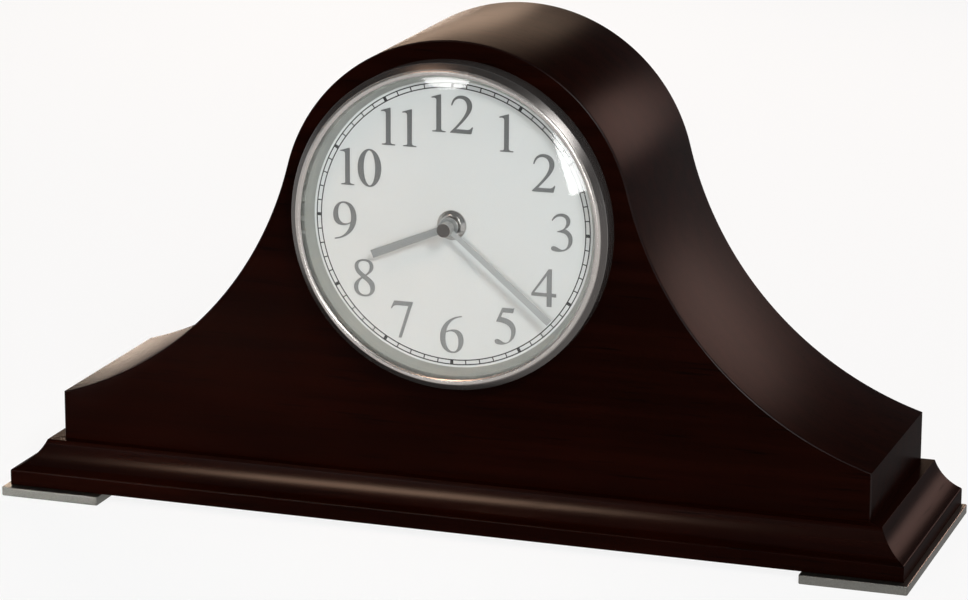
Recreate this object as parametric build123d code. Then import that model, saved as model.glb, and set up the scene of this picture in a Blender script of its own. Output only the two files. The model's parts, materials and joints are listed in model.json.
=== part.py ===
from build123d import *
import os
from math import acos, cos, hypot, pi, radians, sin, sqrt, tan

# Tambour mantel clock with a quartz chime movement.
# Millimetres, +Z up, the dial faces -Y, the origin is at floor level in the middle of the footprint.

# Wooden case
body_width = 387.2
body_depth = 102.3
end_height = 22.4        # straight end of the body above the ledge
crown_margin = 7.6       # wood round the bezel, under the arched top
flank_radius = 164.9     # hollow shoulder that runs into the crown
dial_height = 119.2      # dial centre above the ledge
front_thickness = 10.0
skin_thickness = 5.0
end_thickness = 10.0
back_thickness = 6.0
back_recess = 6.5        # back panel set in from the rear edge
arris = 0.8              # softened edge of the front panel

# Base
base_height = 19.85
band_height = 7.4
ledge_side = 6.5         # ledge beyond the body at each end
ledge_front = 5.4
moulding_run = 13.2      # from the ledge's edge out to the band
moulding_width = 26.0
cove_depth = 2.0
band_round = 1.0

# Foot plates
foot_thickness = 4.35
foot_width = 48.7
foot_side = 2.7          # beyond the band at each end
foot_front = 4.4
foot_corner = 0.9
foot_edge = 0.5
foot_screw_pitch = 34.0

# Wood screws and glue blocks
wood_screw_radius = 2.0
wood_screw_length = 22.0
wood_head_radius = 4.0
wood_head_height = 2.4
head_sink = 5.0          # depth of the holes that hide the case screws
foot_screw_length = 14.0
back_screw_length = 14.0
block_size = 18.0
block_length = 40.0
rail_length = 300.0
crown_block_size = 24.0
crown_block_inset = 10.0 # middle of the block, in from the crown
crown_block_angle = 49.0 # above the level of the dial's centre
screw_spread = 280.0     # distance between the left and right case screws
back_screw_spread = 230.0

# Dial and bezel
dial_thickness = 1.0
dial_backing = 2.3
dial_gap = 0.25          # between the dial's edge and the bezel
bezel_width = 5.15
bezel_wall_gap = 0.15    # between the glass and the bezel
lip_reach = 0.95         # bezel lip over the glass
lip_thickness = 0.8
bead_height = 0.7
shoulder_drop = 1.3
bezel_screw_radius = 1.1
bezel_screw_depth = 6.0
bezel_screw_angles = (30, 150, 210, 330)
lens_radius = 70.0
lens_land = 1.8          # flat rim of the glass
lens_thickness = 1.8
lens_crown = 9.4
lens_clear = 0.85        # front of the rim above the minute hand
ring_slope = 2.5         # inner ring widens this much towards the glass
numeral_height = 17.0
numeral_inset = 19.4     # middle of the numerals, in from the dial's edge
numeral_thickness = 0.4
numeral_nudge = {2: (-1.0, 1.7), 3: (0.9, 0.6), 4: (-0.5, 0), 5: (0, -0.7), 7: (1.4, -2.0), 8: (2.0, -2.6),
                 9: (-0.6, -2.2), 10: (0.4, -2.2), 11: (0, -1.0)}     # numerals set a little off their circle

# Hands
hand_thickness = 0.5
hand_lift = 0.35             # hour hand in front of the bush's end
hand_spacing = 1.4           # free gap between the two hands
hour_hand_length = 39.5
hour_hand_root = 3.1
hour_hand_tip = 3.7
hour_hand_angle = 247.2      # clockwise from twelve
minute_hand_inset = 3.6      # tip in from the foot of the inner ring
minute_hand_root = 2.3
minute_hand_tip = 3.2
minute_hand_angle = 129.5
collar_thickness = 0.5       # shoulder of the shaft behind the minute hand
hand_nut_radius = 3.1
hand_nut_height = 5.2
cap_thickness = 0.8          # closed end of the cap nut
dial_nut_radius = 6.8
dial_nut_height = 2.6
dial_nut_bevel = 1.7

# Movement case
train_margin = 0.86          # from the gear train to the top wall
bay_margin = 4.76            # from the gear train to the battery bay
switch_margin = 0.75         # free space at each end of a switch's way
movement_depth = 28.0
movement_wall = 1.6
movement_split = 14.0        # depth of the front half
corner_inset = 3.5
corner_post_radius = 2.8
case_screw_radius = 1.0
case_screw_head = 2.0
washer_thickness = 1.0
washer_radius = 14.0
bush_radius = 4.0
bush_flange = 6.5
bush_flange_thickness = 1.2
bush_lead = 4.2              # bush end in front of the dial

# Hand shafts
arbor_radius = 1.25
tube_radius = 2.2
pivot_radius = 0.5
pivot_depth = 0.8            # pivot inside the front wall
stud_radius = 0.9

# Gear train, each layer counted back from the inside of the front wall
train_module = 0.30
motion_distance = 9.6        # hand shaft to minute wheel, and on to the setting shaft
centre_teeth = 100
third_pinion_teeth = 10
third_teeth = 72
rotor_teeth = 12
cannon_teeth = 12
minute_teeth = 36
minute_pinion_teeth = 10
hour_teeth = 40
pressure_angle = 25.0
addendum = 0.8
dedendum = 1.1
tooth_share = 0.42           # tooth thickness as a part of the tooth pitch
wheel_thickness = 1.0
wheel_gap = 0.8              # free space between wheels in neighbouring layers
pinion_margin = 0.2          # pinions stand this much past the wheel they drive
magnet_radius = 2.6
magnet_height = 2.4
stator_gap = 0.5
stator_thickness = 1.4
stator_width = 9.0
core_width = 3.0
coil_length = 20.0
coil_width = 8.0
plate_thickness = 1.4
plate_gap = 0.8
plate_drop = 7.8             # train plate below the hand shaft
post_radius = 1.6

# Circuit board, speaker, battery and controls
board_thickness = 1.2
board_gap = 2.4              # behind the train plate
board_margin = 10.2          # from the left side of the movement case
chip_radius = 3.0
crystal_radius = 1.5
crystal_length = 6.0
speaker_radius = 16.0
speaker_depth = 9.6
speaker_flange = 1.2
magnet_pot_radius = 8.0
magnet_pot_height = 3.5
magnet_round = 0.4
cone_thickness = 0.4
grille_slots = 5
grille_pitch = 5.3
grille_slot_width = 1.6
cell_radius = 13.1
cell_length = 50.0
cell_round = 0.5
cell_nub = 1.5
cell_nub_radius = 3.0
cell_play = 2.3              # room for a contact at each end of the cell
contact_thickness = 0.5
contact_size = 14.0
saddle_thickness = 2.0
knob_radius = 6.5
knob_height = 5.0
knob_grooves = 18
knob_groove_radius = 0.36
mark_width = 1.0             # pointer cut in the volume knob
mark_depth = 0.5
set_shaft_radius = 1.5
volume_shaft_radius = 2.0
slider_grip = 4.0
slider_reach = 2.6
slider_plate = 12.0
switch_pitch = 10.0
slider_plate_thickness = 1.2
chime_travel = 6.0
night_travel = 5.0

# Rear door
door_width = 100.0
door_rise = 42.0             # above the hand shaft
door_drop = 54.0
door_gap = 0.5
sound_slot_width = 3.0
sound_slot_length = 36.0
sound_slot_pitch = 8.0
sound_slots = 5
hinge_leaf_width = 10.0
hinge_leaf_height = 18.0
hinge_leaf_thickness = 0.8
hinge_spread = 60.0          # distance between the two hinges
knuckle_radius = 1.7
hinge_pin_radius = 0.8
hinge_screw_radius = 0.8
hinge_screw_length = 4.0
door_knob_radius = 4.8
door_knob_height = 5.4
door_knob_round = 0.8
catch_size = 6.0
catch_length = 20.0
catch_plate_thickness = 0.8

# Fits
running = 0.05               # shaft that turns in a hole
fixed = 0.02                 # pin or screw held in a hole
play = 0.15                  # loose sliding or face gap
clear = 0.3                  # free gap beside a moving piece
glue_line = 0.05

# Heights and depths that follow from the sizes above
half_body = body_width / 2
half_ledge = half_body + ledge_side
half_band = half_ledge + moulding_run
half_foot = half_band + foot_side
overall_depth = body_depth + ledge_front + moulding_run + foot_front
rear = overall_depth / 2
body_face = rear - body_depth
band_face = body_face - ledge_front - moulding_run
foot_face = band_face - foot_front
ledge_z = foot_thickness + base_height
dial_z = ledge_z + dial_height
panel_rear = body_face + front_thickness
back_face = rear - back_recess
back_inner = back_face - back_thickness
dial_face = body_face - dial_backing - dial_thickness
dial_radius = lens_radius + bezel_wall_gap - dial_gap
bezel_radius = lens_radius + bezel_wall_gap + bezel_width
crown_radius = bezel_radius + crown_margin
numeral_circle = dial_radius - numeral_inset

# Hands, counted forward from the dial
hour_hand_gap = bush_lead + hand_lift
minute_hand_gap = hour_hand_gap + hand_thickness + hand_spacing
lens_seat = minute_hand_gap + hand_thickness + lens_clear
minute_hand_length = lens_radius - lens_land - ring_slope - minute_hand_inset

movement_face = panel_rear + washer_thickness
wall_inner = movement_face + movement_wall
movement_rear = movement_face + movement_depth
rear_inner = movement_rear - movement_wall
split = movement_face + movement_split

# Depths of the gear layers, front to back
hour_layer = wall_inner + bush_flange_thickness + wheel_gap / 2
minute_layer = hour_layer + wheel_thickness + wheel_gap
centre_layer = minute_layer + wheel_thickness + wheel_gap
third_layer = centre_layer + wheel_thickness + wheel_gap
rotor_layer = third_layer + wheel_thickness + wheel_gap
stator_layer = rotor_layer + (magnet_height - stator_thickness) / 2
plate_layer = rotor_layer + magnet_height + plate_gap
board_layer = plate_layer + plate_thickness + board_gap

# Shaft places, from the hand shaft
cannon_module = 2 * motion_distance / (cannon_teeth + minute_teeth)
hour_module = 2 * motion_distance / (minute_pinion_teeth + hour_teeth)
third_rise = train_module * (centre_teeth + third_pinion_teeth) / 2
third_reach = train_module * (third_teeth / 2 + addendum)
centre_reach = train_module * (centre_teeth / 2 + addendum)
rotor_run = train_module * (third_teeth + rotor_teeth) / 2
shaft_spot = (0, dial_z)
minute_spot = (-motion_distance, dial_z)
set_spot = (-2 * motion_distance, dial_z)
third_spot = (0, dial_z + third_rise)
rotor_spot = (rotor_run, dial_z + third_rise)

# Places in the movement case, from the gear train, the battery bay and the switches beside it
bay_top = dial_z - centre_reach - bay_margin - movement_wall
cell_spot_z = bay_top - cell_radius - clear
cell_spot_y = wall_inner + cell_radius + clear
cell_bay = cell_length / 2 + cell_play
side_bay = slider_plate + chime_travel + 2 * switch_margin
half_movement = cell_bay + side_bay + 2 * movement_wall
movement_top = third_spot[1] + third_reach + train_margin + movement_wall
movement_base = cell_spot_z - cell_radius - clear - movement_wall
speaker_spot = (half_movement - movement_wall - speaker_radius - clear,
                bay_top + movement_wall + speaker_radius + clear)
side_centre = cell_bay + movement_wall + side_bay / 2
volume_spot = (side_centre, cell_spot_z)
chime_spot = (-side_centre, bay_top - slider_grip)
night_spot = (-side_centre, chime_spot[1] - switch_pitch)
corner_spots = [(side * (half_movement - corner_inset), z)
                for side in (-1, 1)
                for z in (movement_base + corner_inset, movement_top - corner_inset)]
plate_left = set_spot[0] - knob_radius - post_radius
plate_right = rotor_run + stator_width / 2 + post_radius + clear
plate_base = dial_z - plate_drop
plate_top = movement_top - movement_wall - clear
post_spots = [(x, z)
              for x in (plate_left + post_radius, plate_right - post_radius)
              for z in (plate_base + post_radius, plate_top - post_radius)]
stator_left = rotor_run - stator_width / 2
core_start = plate_right + clear
core_end = core_start + coil_length + 2 * clear
stator_right = core_end + core_width
stator_posts = [(core_start - post_radius, rotor_spot[1] + stator_width / 2 - post_radius),
                ((core_end + stator_right) / 2, rotor_spot[1])]
board_right = speaker_spot[0] - speaker_radius - clear - post_radius
board_left = board_margin - half_movement
board_width = board_right - board_left
board_base = bay_top + movement_wall + clear
board_top = plate_top
board_posts = [(x, z)
               for x in (board_left + 2 * post_radius, board_right - 2 * post_radius)
               for z in (board_base + 2 * post_radius, board_top - 2 * post_radius)]

# Rear door
door_top = dial_z + door_rise
door_base = dial_z - door_drop
hinge_x = -(door_width + door_gap) / 2
hinge_y = back_face + knuckle_radius + play
hinge_heights = [(door_top + door_base + side * hinge_spread) / 2 for side in (-1, 1)]
door_knob_spot = (door_width / 2 - 2 * door_knob_radius, (door_top + door_base) / 2)

# Fastener places
foot_screw_spots = [(side * (half_band - moulding_width / 2), place * foot_screw_pitch)
                    for side in (-1, 1) for place in (-1, 0, 1)]
case_screw_spots = [(side * screw_spread / 2, y)
                    for side in (-1, 1)
                    for y in (panel_rear + block_size / 2, back_inner - block_size / 2)]
bezel_screw_circle = (lens_radius + bezel_wall_gap + bezel_radius) / 2


def around_dial(radius, angle):
    """X and Z of a point on a circle about the dial's centre, counted from +X towards +Z."""
    return radius * cos(radians(angle)), dial_z + radius * sin(radians(angle))


crown_spots = [around_dial(crown_radius - crown_block_inset, angle)
               for angle in (180 - crown_block_angle, crown_block_angle)]
rail_spots = [(side * back_screw_spread / 2, ledge_z + block_size / 2) for side in (-1, 1)]
back_screw_spots = rail_spots + crown_spots
bezel_screw_spots = [around_dial(bezel_screw_circle, angle) for angle in bezel_screw_angles]


def slab(outline, front, back):
    """Prism of an outline drawn in X and Z, between two depths."""
    return extrude(Plane.XZ.offset(-back) * outline, back - front)


def rod(spot, radius, front, back):
    return slab(Pos(*spot) * Circle(radius), front, back)


def block(left, right, front, back, base, top):
    box = Box(right - left, back - front, top - base)
    return Pos((left + right) / 2, (front + back) / 2, (base + top) / 2) * box


def turned(profile, spot=shaft_spot):
    """Profile of (radius, depth) points or edges, turned about a shaft along Y."""
    outline = Polyline(*profile, close=True) if isinstance(profile[0], tuple) else profile
    return Pos(spot[0], 0, spot[1]) * revolve(make_face(outline), Axis.Y)


def upright(spot, radius, base, top):
    cylinder = Cylinder(radius, top - base, align=(Align.CENTER, Align.CENTER, Align.MIN))
    return Pos(spot[0], spot[1], base) * cylinder


def mirrored(piece):
    return mirror(piece, Plane.YZ)


# Wooden case

def flank_centre():
    """Centre of the right flank's arc, which touches the crown and ends at the body's end."""
    across = half_body
    up = ledge_z + end_height - dial_z
    span = hypot(across, up)
    reach = crown_radius + flank_radius
    along = (reach ** 2 - flank_radius ** 2 + span ** 2) / (2 * span)
    aside = sqrt(reach ** 2 - along ** 2)
    return (along * across - aside * up) / span, dial_z + (along * up + aside * across) / span


def case_face(inset, half_width):
    """The body's front outline, drawn in by an inset and cut off at a half width."""
    centre_x, centre_z = flank_centre()
    crown = crown_radius - inset
    flank = flank_radius + inset
    reach = crown_radius + flank_radius
    meet = (centre_x * crown / reach, dial_z + (centre_z - dial_z) * crown / reach)
    end = (half_width, centre_z - sqrt(flank ** 2 - (half_width - centre_x) ** 2))
    middle_x = (meet[0] + end[0]) / 2 - centre_x
    middle_z = (meet[1] + end[1]) / 2 - centre_z
    stretch = flank / hypot(middle_x, middle_z)
    middle = (centre_x + middle_x * stretch, centre_z + middle_z * stretch)
    left = [(-x, z) for x, z in (meet, middle, end)]
    return make_face([
        Line((-half_width, ledge_z), (half_width, ledge_z)),
        Line((half_width, ledge_z), end),
        ThreePointArc(end, middle, meet),
        ThreePointArc(meet, (0, dial_z + crown), left[0]),
        ThreePointArc(left[0], left[1], left[2]),
        Line(left[2], (-half_width, ledge_z)),
    ])


def front_panel():
    panel = slab(case_face(0, half_body), body_face, panel_rear)
    panel = fillet(panel.faces().sort_by(Axis.Y)[0].edges(), arris)
    panel -= rod(shaft_spot, bush_radius + clear, body_face, panel_rear)
    for spot in bezel_screw_spots:
        panel -= rod(spot, bezel_screw_radius + play, body_face, panel_rear)
    return panel


def top_skin():
    return slab(case_face(0, half_body) - case_face(skin_thickness, half_body), panel_rear, rear)


def end_panel_right():
    end = Pos(half_body - end_thickness / 2, dial_z) * Rectangle(end_thickness, 2 * dial_z)
    return slab(case_face(skin_thickness, half_body) & end, panel_rear, rear)


def back_panel():
    outline = case_face(skin_thickness + glue_line, half_body - end_thickness - glue_line)
    outline -= Pos(0, (door_top + door_base) / 2) * Rectangle(door_width + 2 * door_gap,
                                                             door_top - door_base + 2 * door_gap)
    panel = slab(outline, back_inner, back_face)
    for spot in back_screw_spots:
        panel -= rod(spot, wood_screw_radius + fixed, back_inner, back_face)
    for spot in hinge_screw_spots(-1):
        panel -= rod(spot, hinge_screw_radius + fixed, back_inner, back_face)
    return panel


def glue_blocks():
    """Blocks that tie the front, the base and the back together, and the door's stop."""
    blocks = []
    for side in (-1, 1):
        middle = side * screw_spread / 2
        blocks.append(block(middle - block_length / 2, middle + block_length / 2, panel_rear,
                            panel_rear + block_size, ledge_z, ledge_z + block_size))
    blocks.append(block(-rail_length / 2, rail_length / 2, back_inner - block_size, back_inner,
                        ledge_z, ledge_z + block_size))
    under_skin = case_face(skin_thickness + glue_line, half_body)
    for x, z in crown_spots:
        square = Pos(x, z) * Rectangle(crown_block_size, crown_block_size)
        blocks.append(slab(under_skin & square, back_inner - block_size, back_inner))
    left, base = catch_corner()
    stop = left + catch_size
    blocks.append(block(stop, stop + catch_size + block_size / 2, back_inner - block_size / 2, back_inner,
                        base, base + catch_length))
    bores = [upright((x, y), wood_screw_radius + fixed, ledge_z, ledge_z + block_size)
             for x, y in case_screw_spots]
    bores += [rod(spot, wood_screw_radius + fixed, back_inner - block_size, back_inner)
              for spot in back_screw_spots]
    return Compound(children=[solid for piece in blocks for solid in (piece - bores).solids()])


# Base and feet

def moulding_face():
    """Section of the base moulding: outward distance from the ledge's edge, and height."""
    band_top = foot_thickness + band_height
    chord = hypot(moulding_run, ledge_z - band_top)
    middle = (moulding_run / 2 - cove_depth * (ledge_z - band_top) / chord,
              (band_top + ledge_z) / 2 - cove_depth * moulding_run / chord)
    inner = moulding_run - moulding_width
    section = make_face([
        Line((inner, foot_thickness), (moulding_run, foot_thickness)),
        Line((moulding_run, foot_thickness), (moulding_run, band_top)),
        ThreePointArc((moulding_run, band_top), middle, (0, ledge_z)),
        Line((0, ledge_z), (inner, ledge_z)),
        Line((inner, ledge_z), (inner, foot_thickness)),
    ])
    nose = section.vertices().sort_by(Axis.X)[-2:].sort_by(Axis.Y)[-1]
    return fillet(nose, band_round)


def base_moulding_front():
    facing = Pos(body_face - ledge_front, 0) * mirror(moulding_face(), Plane.YZ)
    strip = extrude(Plane.YZ.offset(-half_band) * facing, 2 * half_band)
    plan = make_face(Polyline((-half_band, band_face), (half_band, band_face),
                              (half_band - moulding_width, band_face + moulding_width),
                              (moulding_width - half_band, band_face + moulding_width), close=True))
    return strip & extrude(plan, ledge_z)


def base_moulding_right():
    strip = slab(Pos(half_ledge, 0) * moulding_face(), band_face, rear)
    inner = half_band - moulding_width
    plan = make_face(Polyline((half_band, band_face), (half_band, rear), (inner, rear),
                              (inner, band_face + moulding_width), close=True))
    strip &= extrude(plan, ledge_z)
    for x, y in foot_screw_spots:
        strip -= upright((x, y), wood_screw_radius + fixed, foot_thickness, foot_screw_length + fixed)
    return strip


def base_board():
    half = half_band - moulding_width
    board = block(-half, half, band_face + moulding_width, rear, foot_thickness, ledge_z)
    for spot in case_screw_spots:
        board -= upright(spot, wood_screw_radius + fixed, foot_thickness, ledge_z)
        board -= upright(spot, wood_head_radius + play, foot_thickness, foot_thickness + head_sink)
    return board


def foot_plate_right():
    plate = block(half_foot - foot_width, half_foot, foot_face, rear, 0, foot_thickness)
    plate = fillet(plate.edges().filter_by(Axis.Z), foot_corner)
    flats = plate.faces().sort_by(Axis.Z)
    plate = fillet(flats[0].edges() + flats[-1].edges(), foot_edge)
    for x, y in foot_screw_spots:
        plate -= upright((x, y), wood_screw_radius + fixed, 0, foot_thickness)
        plate -= countersink(x, y, fixed)
    return plate


def countersink(x, y, margin):
    """Cone of a countersunk head whose flat lies just inside the foot's underside."""
    cone = Cone(wood_head_radius + margin, wood_screw_radius + margin, wood_head_height,
                align=(Align.CENTER, Align.CENTER, Align.MIN))
    return Pos(x, y, 0) * cone


def foot_screws():
    screws = []
    for x, y in foot_screw_spots:
        head = countersink(x, y, 0) - upright((x, y), wood_head_radius, 0, play)
        screws.append(head + upright((x, y), wood_screw_radius, wood_head_height / 2, foot_screw_length))
    return Compound(children=screws)


def case_screws():
    screws = []
    for spot in case_screw_spots:
        seat = foot_thickness + head_sink
        screws.append(upright(spot, wood_head_radius, seat - wood_head_height, seat)
                      + upright(spot, wood_screw_radius, seat - wood_head_height, seat + wood_screw_length))
    return Compound(children=screws)


def back_screws():
    return Compound(children=[
        rod(spot, wood_head_radius, back_face, back_face + wood_head_height)
        + rod(spot, wood_screw_radius, back_face - back_screw_length, back_face + wood_head_height)
        for spot in back_screw_spots])


# Dial, bezel and glass

def bezel_ring():
    """Turned ring: outer wall, sloping shoulder, round bead, and a lip over the glass."""
    inner = lens_radius + bezel_wall_gap
    lip = inner - lip_reach
    lip_face = dial_face - lens_seat - lip_thickness
    bead_outer = (inner + bezel_radius) / 2 - lip_reach
    crest = lip_face - bead_height
    shoulder = lip_face + bead_height
    rim = bezel_radius - shoulder_drop
    ring = turned([
        Line((inner, body_face), (bezel_radius, body_face)),
        Line((bezel_radius, body_face), (bezel_radius, shoulder + shoulder_drop)),
        RadiusArc((bezel_radius, shoulder + shoulder_drop), (rim, shoulder), shoulder_drop),
        Line((rim, shoulder), (bead_outer, shoulder - bead_height / 2)),
        Line((bead_outer, shoulder - bead_height / 2), (bead_outer, lip_face)),
        ThreePointArc((bead_outer, lip_face), ((bead_outer + lip) / 2, crest), (lip, lip_face)),
        Line((lip, lip_face), (lip, dial_face - lens_seat)),
        Line((lip, dial_face - lens_seat), (inner, dial_face - lens_seat)),
        Line((inner, dial_face - lens_seat), (inner, body_face)),
    ])
    for spot in bezel_screw_spots:
        ring -= rod(spot, bezel_screw_radius + fixed, body_face - bezel_screw_depth - play, body_face)
    return ring


def bezel_screws():
    return Compound(children=[
        rod(spot, bezel_screw_radius, body_face - bezel_screw_depth, panel_rear)
        + rod(spot, 2 * bezel_screw_radius, panel_rear, panel_rear + bezel_screw_radius)
        for spot in bezel_screw_spots])


def lens():
    """Domed glass with a flat rim."""
    dome = lens_radius - lens_land
    radius = (dome ** 2 + lens_crown ** 2) / (2 * lens_crown)
    half_drop = radius - sqrt(radius ** 2 - dome ** 2 / 4)
    outer = dial_face - lens_seat
    inner = outer + lens_thickness
    return turned([
        Line((lens_radius, inner), (lens_radius, outer)),
        Line((lens_radius, outer), (dome, outer)),
        ThreePointArc((dome, outer), (dome / 2, outer - lens_crown + half_drop), (0, outer - lens_crown)),
        Line((0, outer - lens_crown), (0, inner - lens_crown)),
        ThreePointArc((0, inner - lens_crown), (dome / 2, inner - lens_crown + half_drop), (dome, inner)),
        Line((dome, inner), (lens_radius, inner)),
    ])


def inner_ring():
    """Sloping ring between the dial and the glass, which it presses against the bezel's lip."""
    top = dial_face - lens_seat + lens_thickness
    mouth = lens_radius - lens_land
    return turned([(mouth - ring_slope, dial_face), (dial_radius, dial_face),
                   (dial_radius, top), (mouth, top)])


def dial_plate():
    return slab(Pos(*shaft_spot) * (Circle(dial_radius) - Circle(bush_radius + play)),
                dial_face, dial_face + dial_thickness)


def dial_backing_disc():
    return slab(Pos(*shaft_spot) * (Circle(dial_radius) - Circle(bush_radius + play)),
                dial_face + dial_thickness, body_face)


def dial_nut():
    bore = bush_radius + fixed
    top = dial_face - dial_nut_height
    return turned([(bore, dial_face), (dial_nut_radius, dial_face),
                   (dial_nut_radius, top + dial_nut_bevel),
                   (dial_nut_radius - dial_nut_bevel, top), (bore, top)])


# Numerals: each digit stands on its baseline with its left edge at zero, 17 units high

digit_height = 17.0


def glyph(start, *steps):
    """Closed outline: a step of one point is a straight line, a step of three is a curve."""
    edges = []
    for step in steps:
        edges.append(Line(start, step[0]) if len(step) == 1 else Bezier(start, *step))
        start = step[-1]
    return make_face(edges)


def digit_one():
    return glyph((0, 15.7), ((4.1, 17.0),), ((4.5, 17.0),), ((4.5, 1.6),),
                 ((4.5, 0.7), (5.0, 0.55), (6.6, 0.45)), ((6.6, 0),), ((0.4, 0),), ((0.4, 0.45),),
                 ((2.0, 0.55), (2.3, 0.7), (2.3, 1.6)), ((2.3, 14.2),),
                 ((2.3, 15.2), (1.6, 15.5), (0, 15.2)), ((0, 15.7),))


def digit_two():
    return glyph((0.5, 12.4), ((0.9, 15.4), (2.8, 17.1), (5.4, 17.1)),
                 ((8.3, 17.1), (10.3, 15.2), (10.3, 12.6)), ((10.3, 9.6), (7.5, 6.6), (2.9, 1.75)),
                 ((7.6, 1.75),), ((8.9, 1.75), (9.6, 2.1), (10.3, 3.2)), ((10.8, 3.0),), ((10.0, 0),),
                 ((0, 0),), ((0, 0.3),), ((5.2, 5.4), (8.0, 9.2), (8.0, 12.1)),
                 ((8.0, 14.3), (6.7, 15.7), (4.8, 15.7)), ((3.0, 15.7), (1.7, 14.6), (1.0, 12.3)),
                 ((0.5, 12.4),))


def digit_three():
    return glyph((0.2, 13.9), ((0.9, 15.9), (2.7, 17.2), (4.9, 17.2)),
                 ((7.2, 17.2), (8.8, 15.9), (8.8, 13.9)), ((8.8, 12.3), (7.9, 11.1), (6.4, 10.2)),
                 ((8.6, 9.5), (9.9, 7.8), (9.9, 5.6)), ((9.9, 2.1), (7.1, -0.2), (3.2, -0.2)),
                 ((1.1, -0.2), (0, 0.2), (0, 1.1)), ((0, 1.7), (0.5, 2.1), (1.2, 2.1)),
                 ((2.7, 2.1), (3.6, 0.8), (5.0, 0.8)), ((6.9, 0.8), (8.1, 2.7), (8.1, 5.2)),
                 ((8.1, 7.5), (6.2, 8.8), (2.8, 8.7)), ((2.8, 9.1),), ((5.7, 9.8), (7.0, 11.2), (7.0, 13.4)),
                 ((7.0, 15.0), (6.0, 15.9), (4.4, 15.9)), ((2.8, 15.9), (1.6, 15.1), (0.6, 13.6)),
                 ((0.2, 13.9),))


def digit_four():
    frame = glyph((8.0, 17.3), ((9.5, 17.3),), ((9.5, 6.2),), ((11.6, 6.2),), ((11.6, 4.6),), ((9.5, 4.6),),
                  ((9.5, 0),), ((7.2, 0),), ((7.2, 4.6),), ((0, 4.6),), ((0, 5.8),), ((8.0, 17.3),))
    return frame - glyph((7.2, 14.3), ((1.4, 6.2),), ((7.2, 6.2),), ((7.2, 14.3),))


def digit_five():
    return glyph((0.6, 10.3), ((3.5, 16.9),), ((8.6, 16.9),), ((9.2, 17.3),), ((8.6, 14.8),), ((3.8, 14.8),),
                 ((2.9, 12.6),), ((7.1, 12.2), (9.8, 10.2), (9.8, 6.9)),
                 ((9.8, 2.8), (6.6, -0.2), (2.5, -0.2)),
                 ((0.9, -0.2), (0, 0.3), (0, 1.2)), ((0, 1.8), (0.5, 2.2), (1.2, 2.2)),
                 ((2.7, 2.2), (3.4, 0.8), (4.8, 0.8)), ((6.6, 0.8), (7.8, 2.9), (7.8, 5.7)),
                 ((7.8, 8.8), (5.4, 10.2), (0.6, 10.3)))


def digit_six():
    body = glyph((10.4, 17.4), ((10.4, 16.9),), ((7.0, 16.5), (3.7, 14.0), (2.9, 9.7)),
                 ((4.2, 10.5), (5.5, 10.8), (6.9, 10.8)), ((9.5, 10.8), (11.1, 8.9), (11.1, 6.0)),
                 ((11.1, 2.4), (8.9, -0.2), (5.8, -0.2)), ((2.3, -0.2), (0, 2.8), (0, 6.9)),
                 ((0, 12.4), (4.3, 16.8), (10.4, 17.4)))
    return body - glyph((2.75, 9.0), ((3.6, 9.6), (4.5, 9.9), (5.4, 9.9)),
                        ((7.5, 9.9), (8.8, 8.0), (8.8, 5.1)),
                        ((8.8, 2.3), (7.8, 0.5), (6.1, 0.5)), ((3.9, 0.5), (2.5, 3.2), (2.5, 6.6)),
                        ((2.5, 7.6), (2.6, 8.3), (2.75, 9.0)))


def digit_seven():
    return glyph((1.6, 17.0), ((10.5, 17.0),), ((10.5, 16.6),), ((5.1, 0),), ((3.7, 0),), ((8.4, 15.0),),
                 ((3.4, 15.0),), ((1.9, 15.0), (1.2, 14.6), (0.4, 13.2)), ((0, 13.4),), ((1.6, 17.0),))


def digit_eight():
    body = glyph((5.0, 17.1), ((7.7, 17.1), (9.3, 15.8), (9.3, 13.8)), ((9.3, 12.0), (7.9, 10.8), (6.0, 9.5)),
                 ((8.5, 7.9), (10.0, 6.5), (10.0, 4.4)), ((10.0, 1.6), (8.0, -0.2), (4.9, -0.2)),
                 ((1.9, -0.2), (0, 1.5), (0, 4.0)), ((0, 6.1), (1.4, 7.4), (3.5, 8.8)),
                 ((1.4, 10.3), (0.3, 11.8), (0.3, 13.6)), ((0.3, 15.7), (2.2, 17.1), (5.0, 17.1)))
    body -= glyph((4.9, 16.3), ((6.7, 16.3), (7.6, 15.3), (7.6, 13.6)),
                  ((7.6, 12.0), (6.8, 11.0), (5.3, 10.0)),
                  ((3.3, 11.2), (2.0, 12.3), (2.0, 14.0)), ((2.0, 15.4), (3.2, 16.3), (4.9, 16.3)))
    return body - glyph((4.1, 8.2), ((6.5, 6.8), (7.9, 5.3), (7.9, 3.3)),
                        ((7.9, 1.6), (6.9, 0.6), (5.1, 0.6)),
                        ((3.1, 0.6), (1.9, 1.9), (1.9, 4.0)), ((1.9, 5.8), (2.7, 7.1), (4.1, 8.2)))


def digit_nine():
    return Pos(11.1, 17.2) * Rot(0, 0, 180) * digit_six()


def digit_zero():
    return Pos(5.6, 8.5) * (Ellipse(5.6, 8.7) - Ellipse(2.8, 8.0))


digits = [digit_zero, digit_one, digit_two, digit_three, digit_four, digit_five, digit_six, digit_seven,
          digit_eight, digit_nine]
second_digit_shift = {10: 8.3, 11: 10.1, 12: 8.7}


def hour_numeral(hour):
    """One or two digits, centred on zero."""
    if hour < 10:
        figure = digits[hour]()
    else:
        figure = digit_one() + Pos(second_digit_shift[hour], 0) * digits[hour - 10]()
    box = figure.bounding_box()
    return Pos(-(box.min.X + box.max.X) / 2, -digit_height / 2) * figure


def numerals():
    solids = []
    for hour in range(1, 13):
        angle = radians(30 * hour)
        spot = Pos(numeral_circle * sin(angle), dial_z + numeral_circle * cos(angle))
        nudge = Pos(*numeral_nudge.get(hour, (0, 0)))
        figure = scale(hour_numeral(hour), numeral_height / digit_height)
        solids += slab(nudge * spot * figure, dial_face - numeral_thickness, dial_face).solids()
    return Compound(children=solids)


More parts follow.
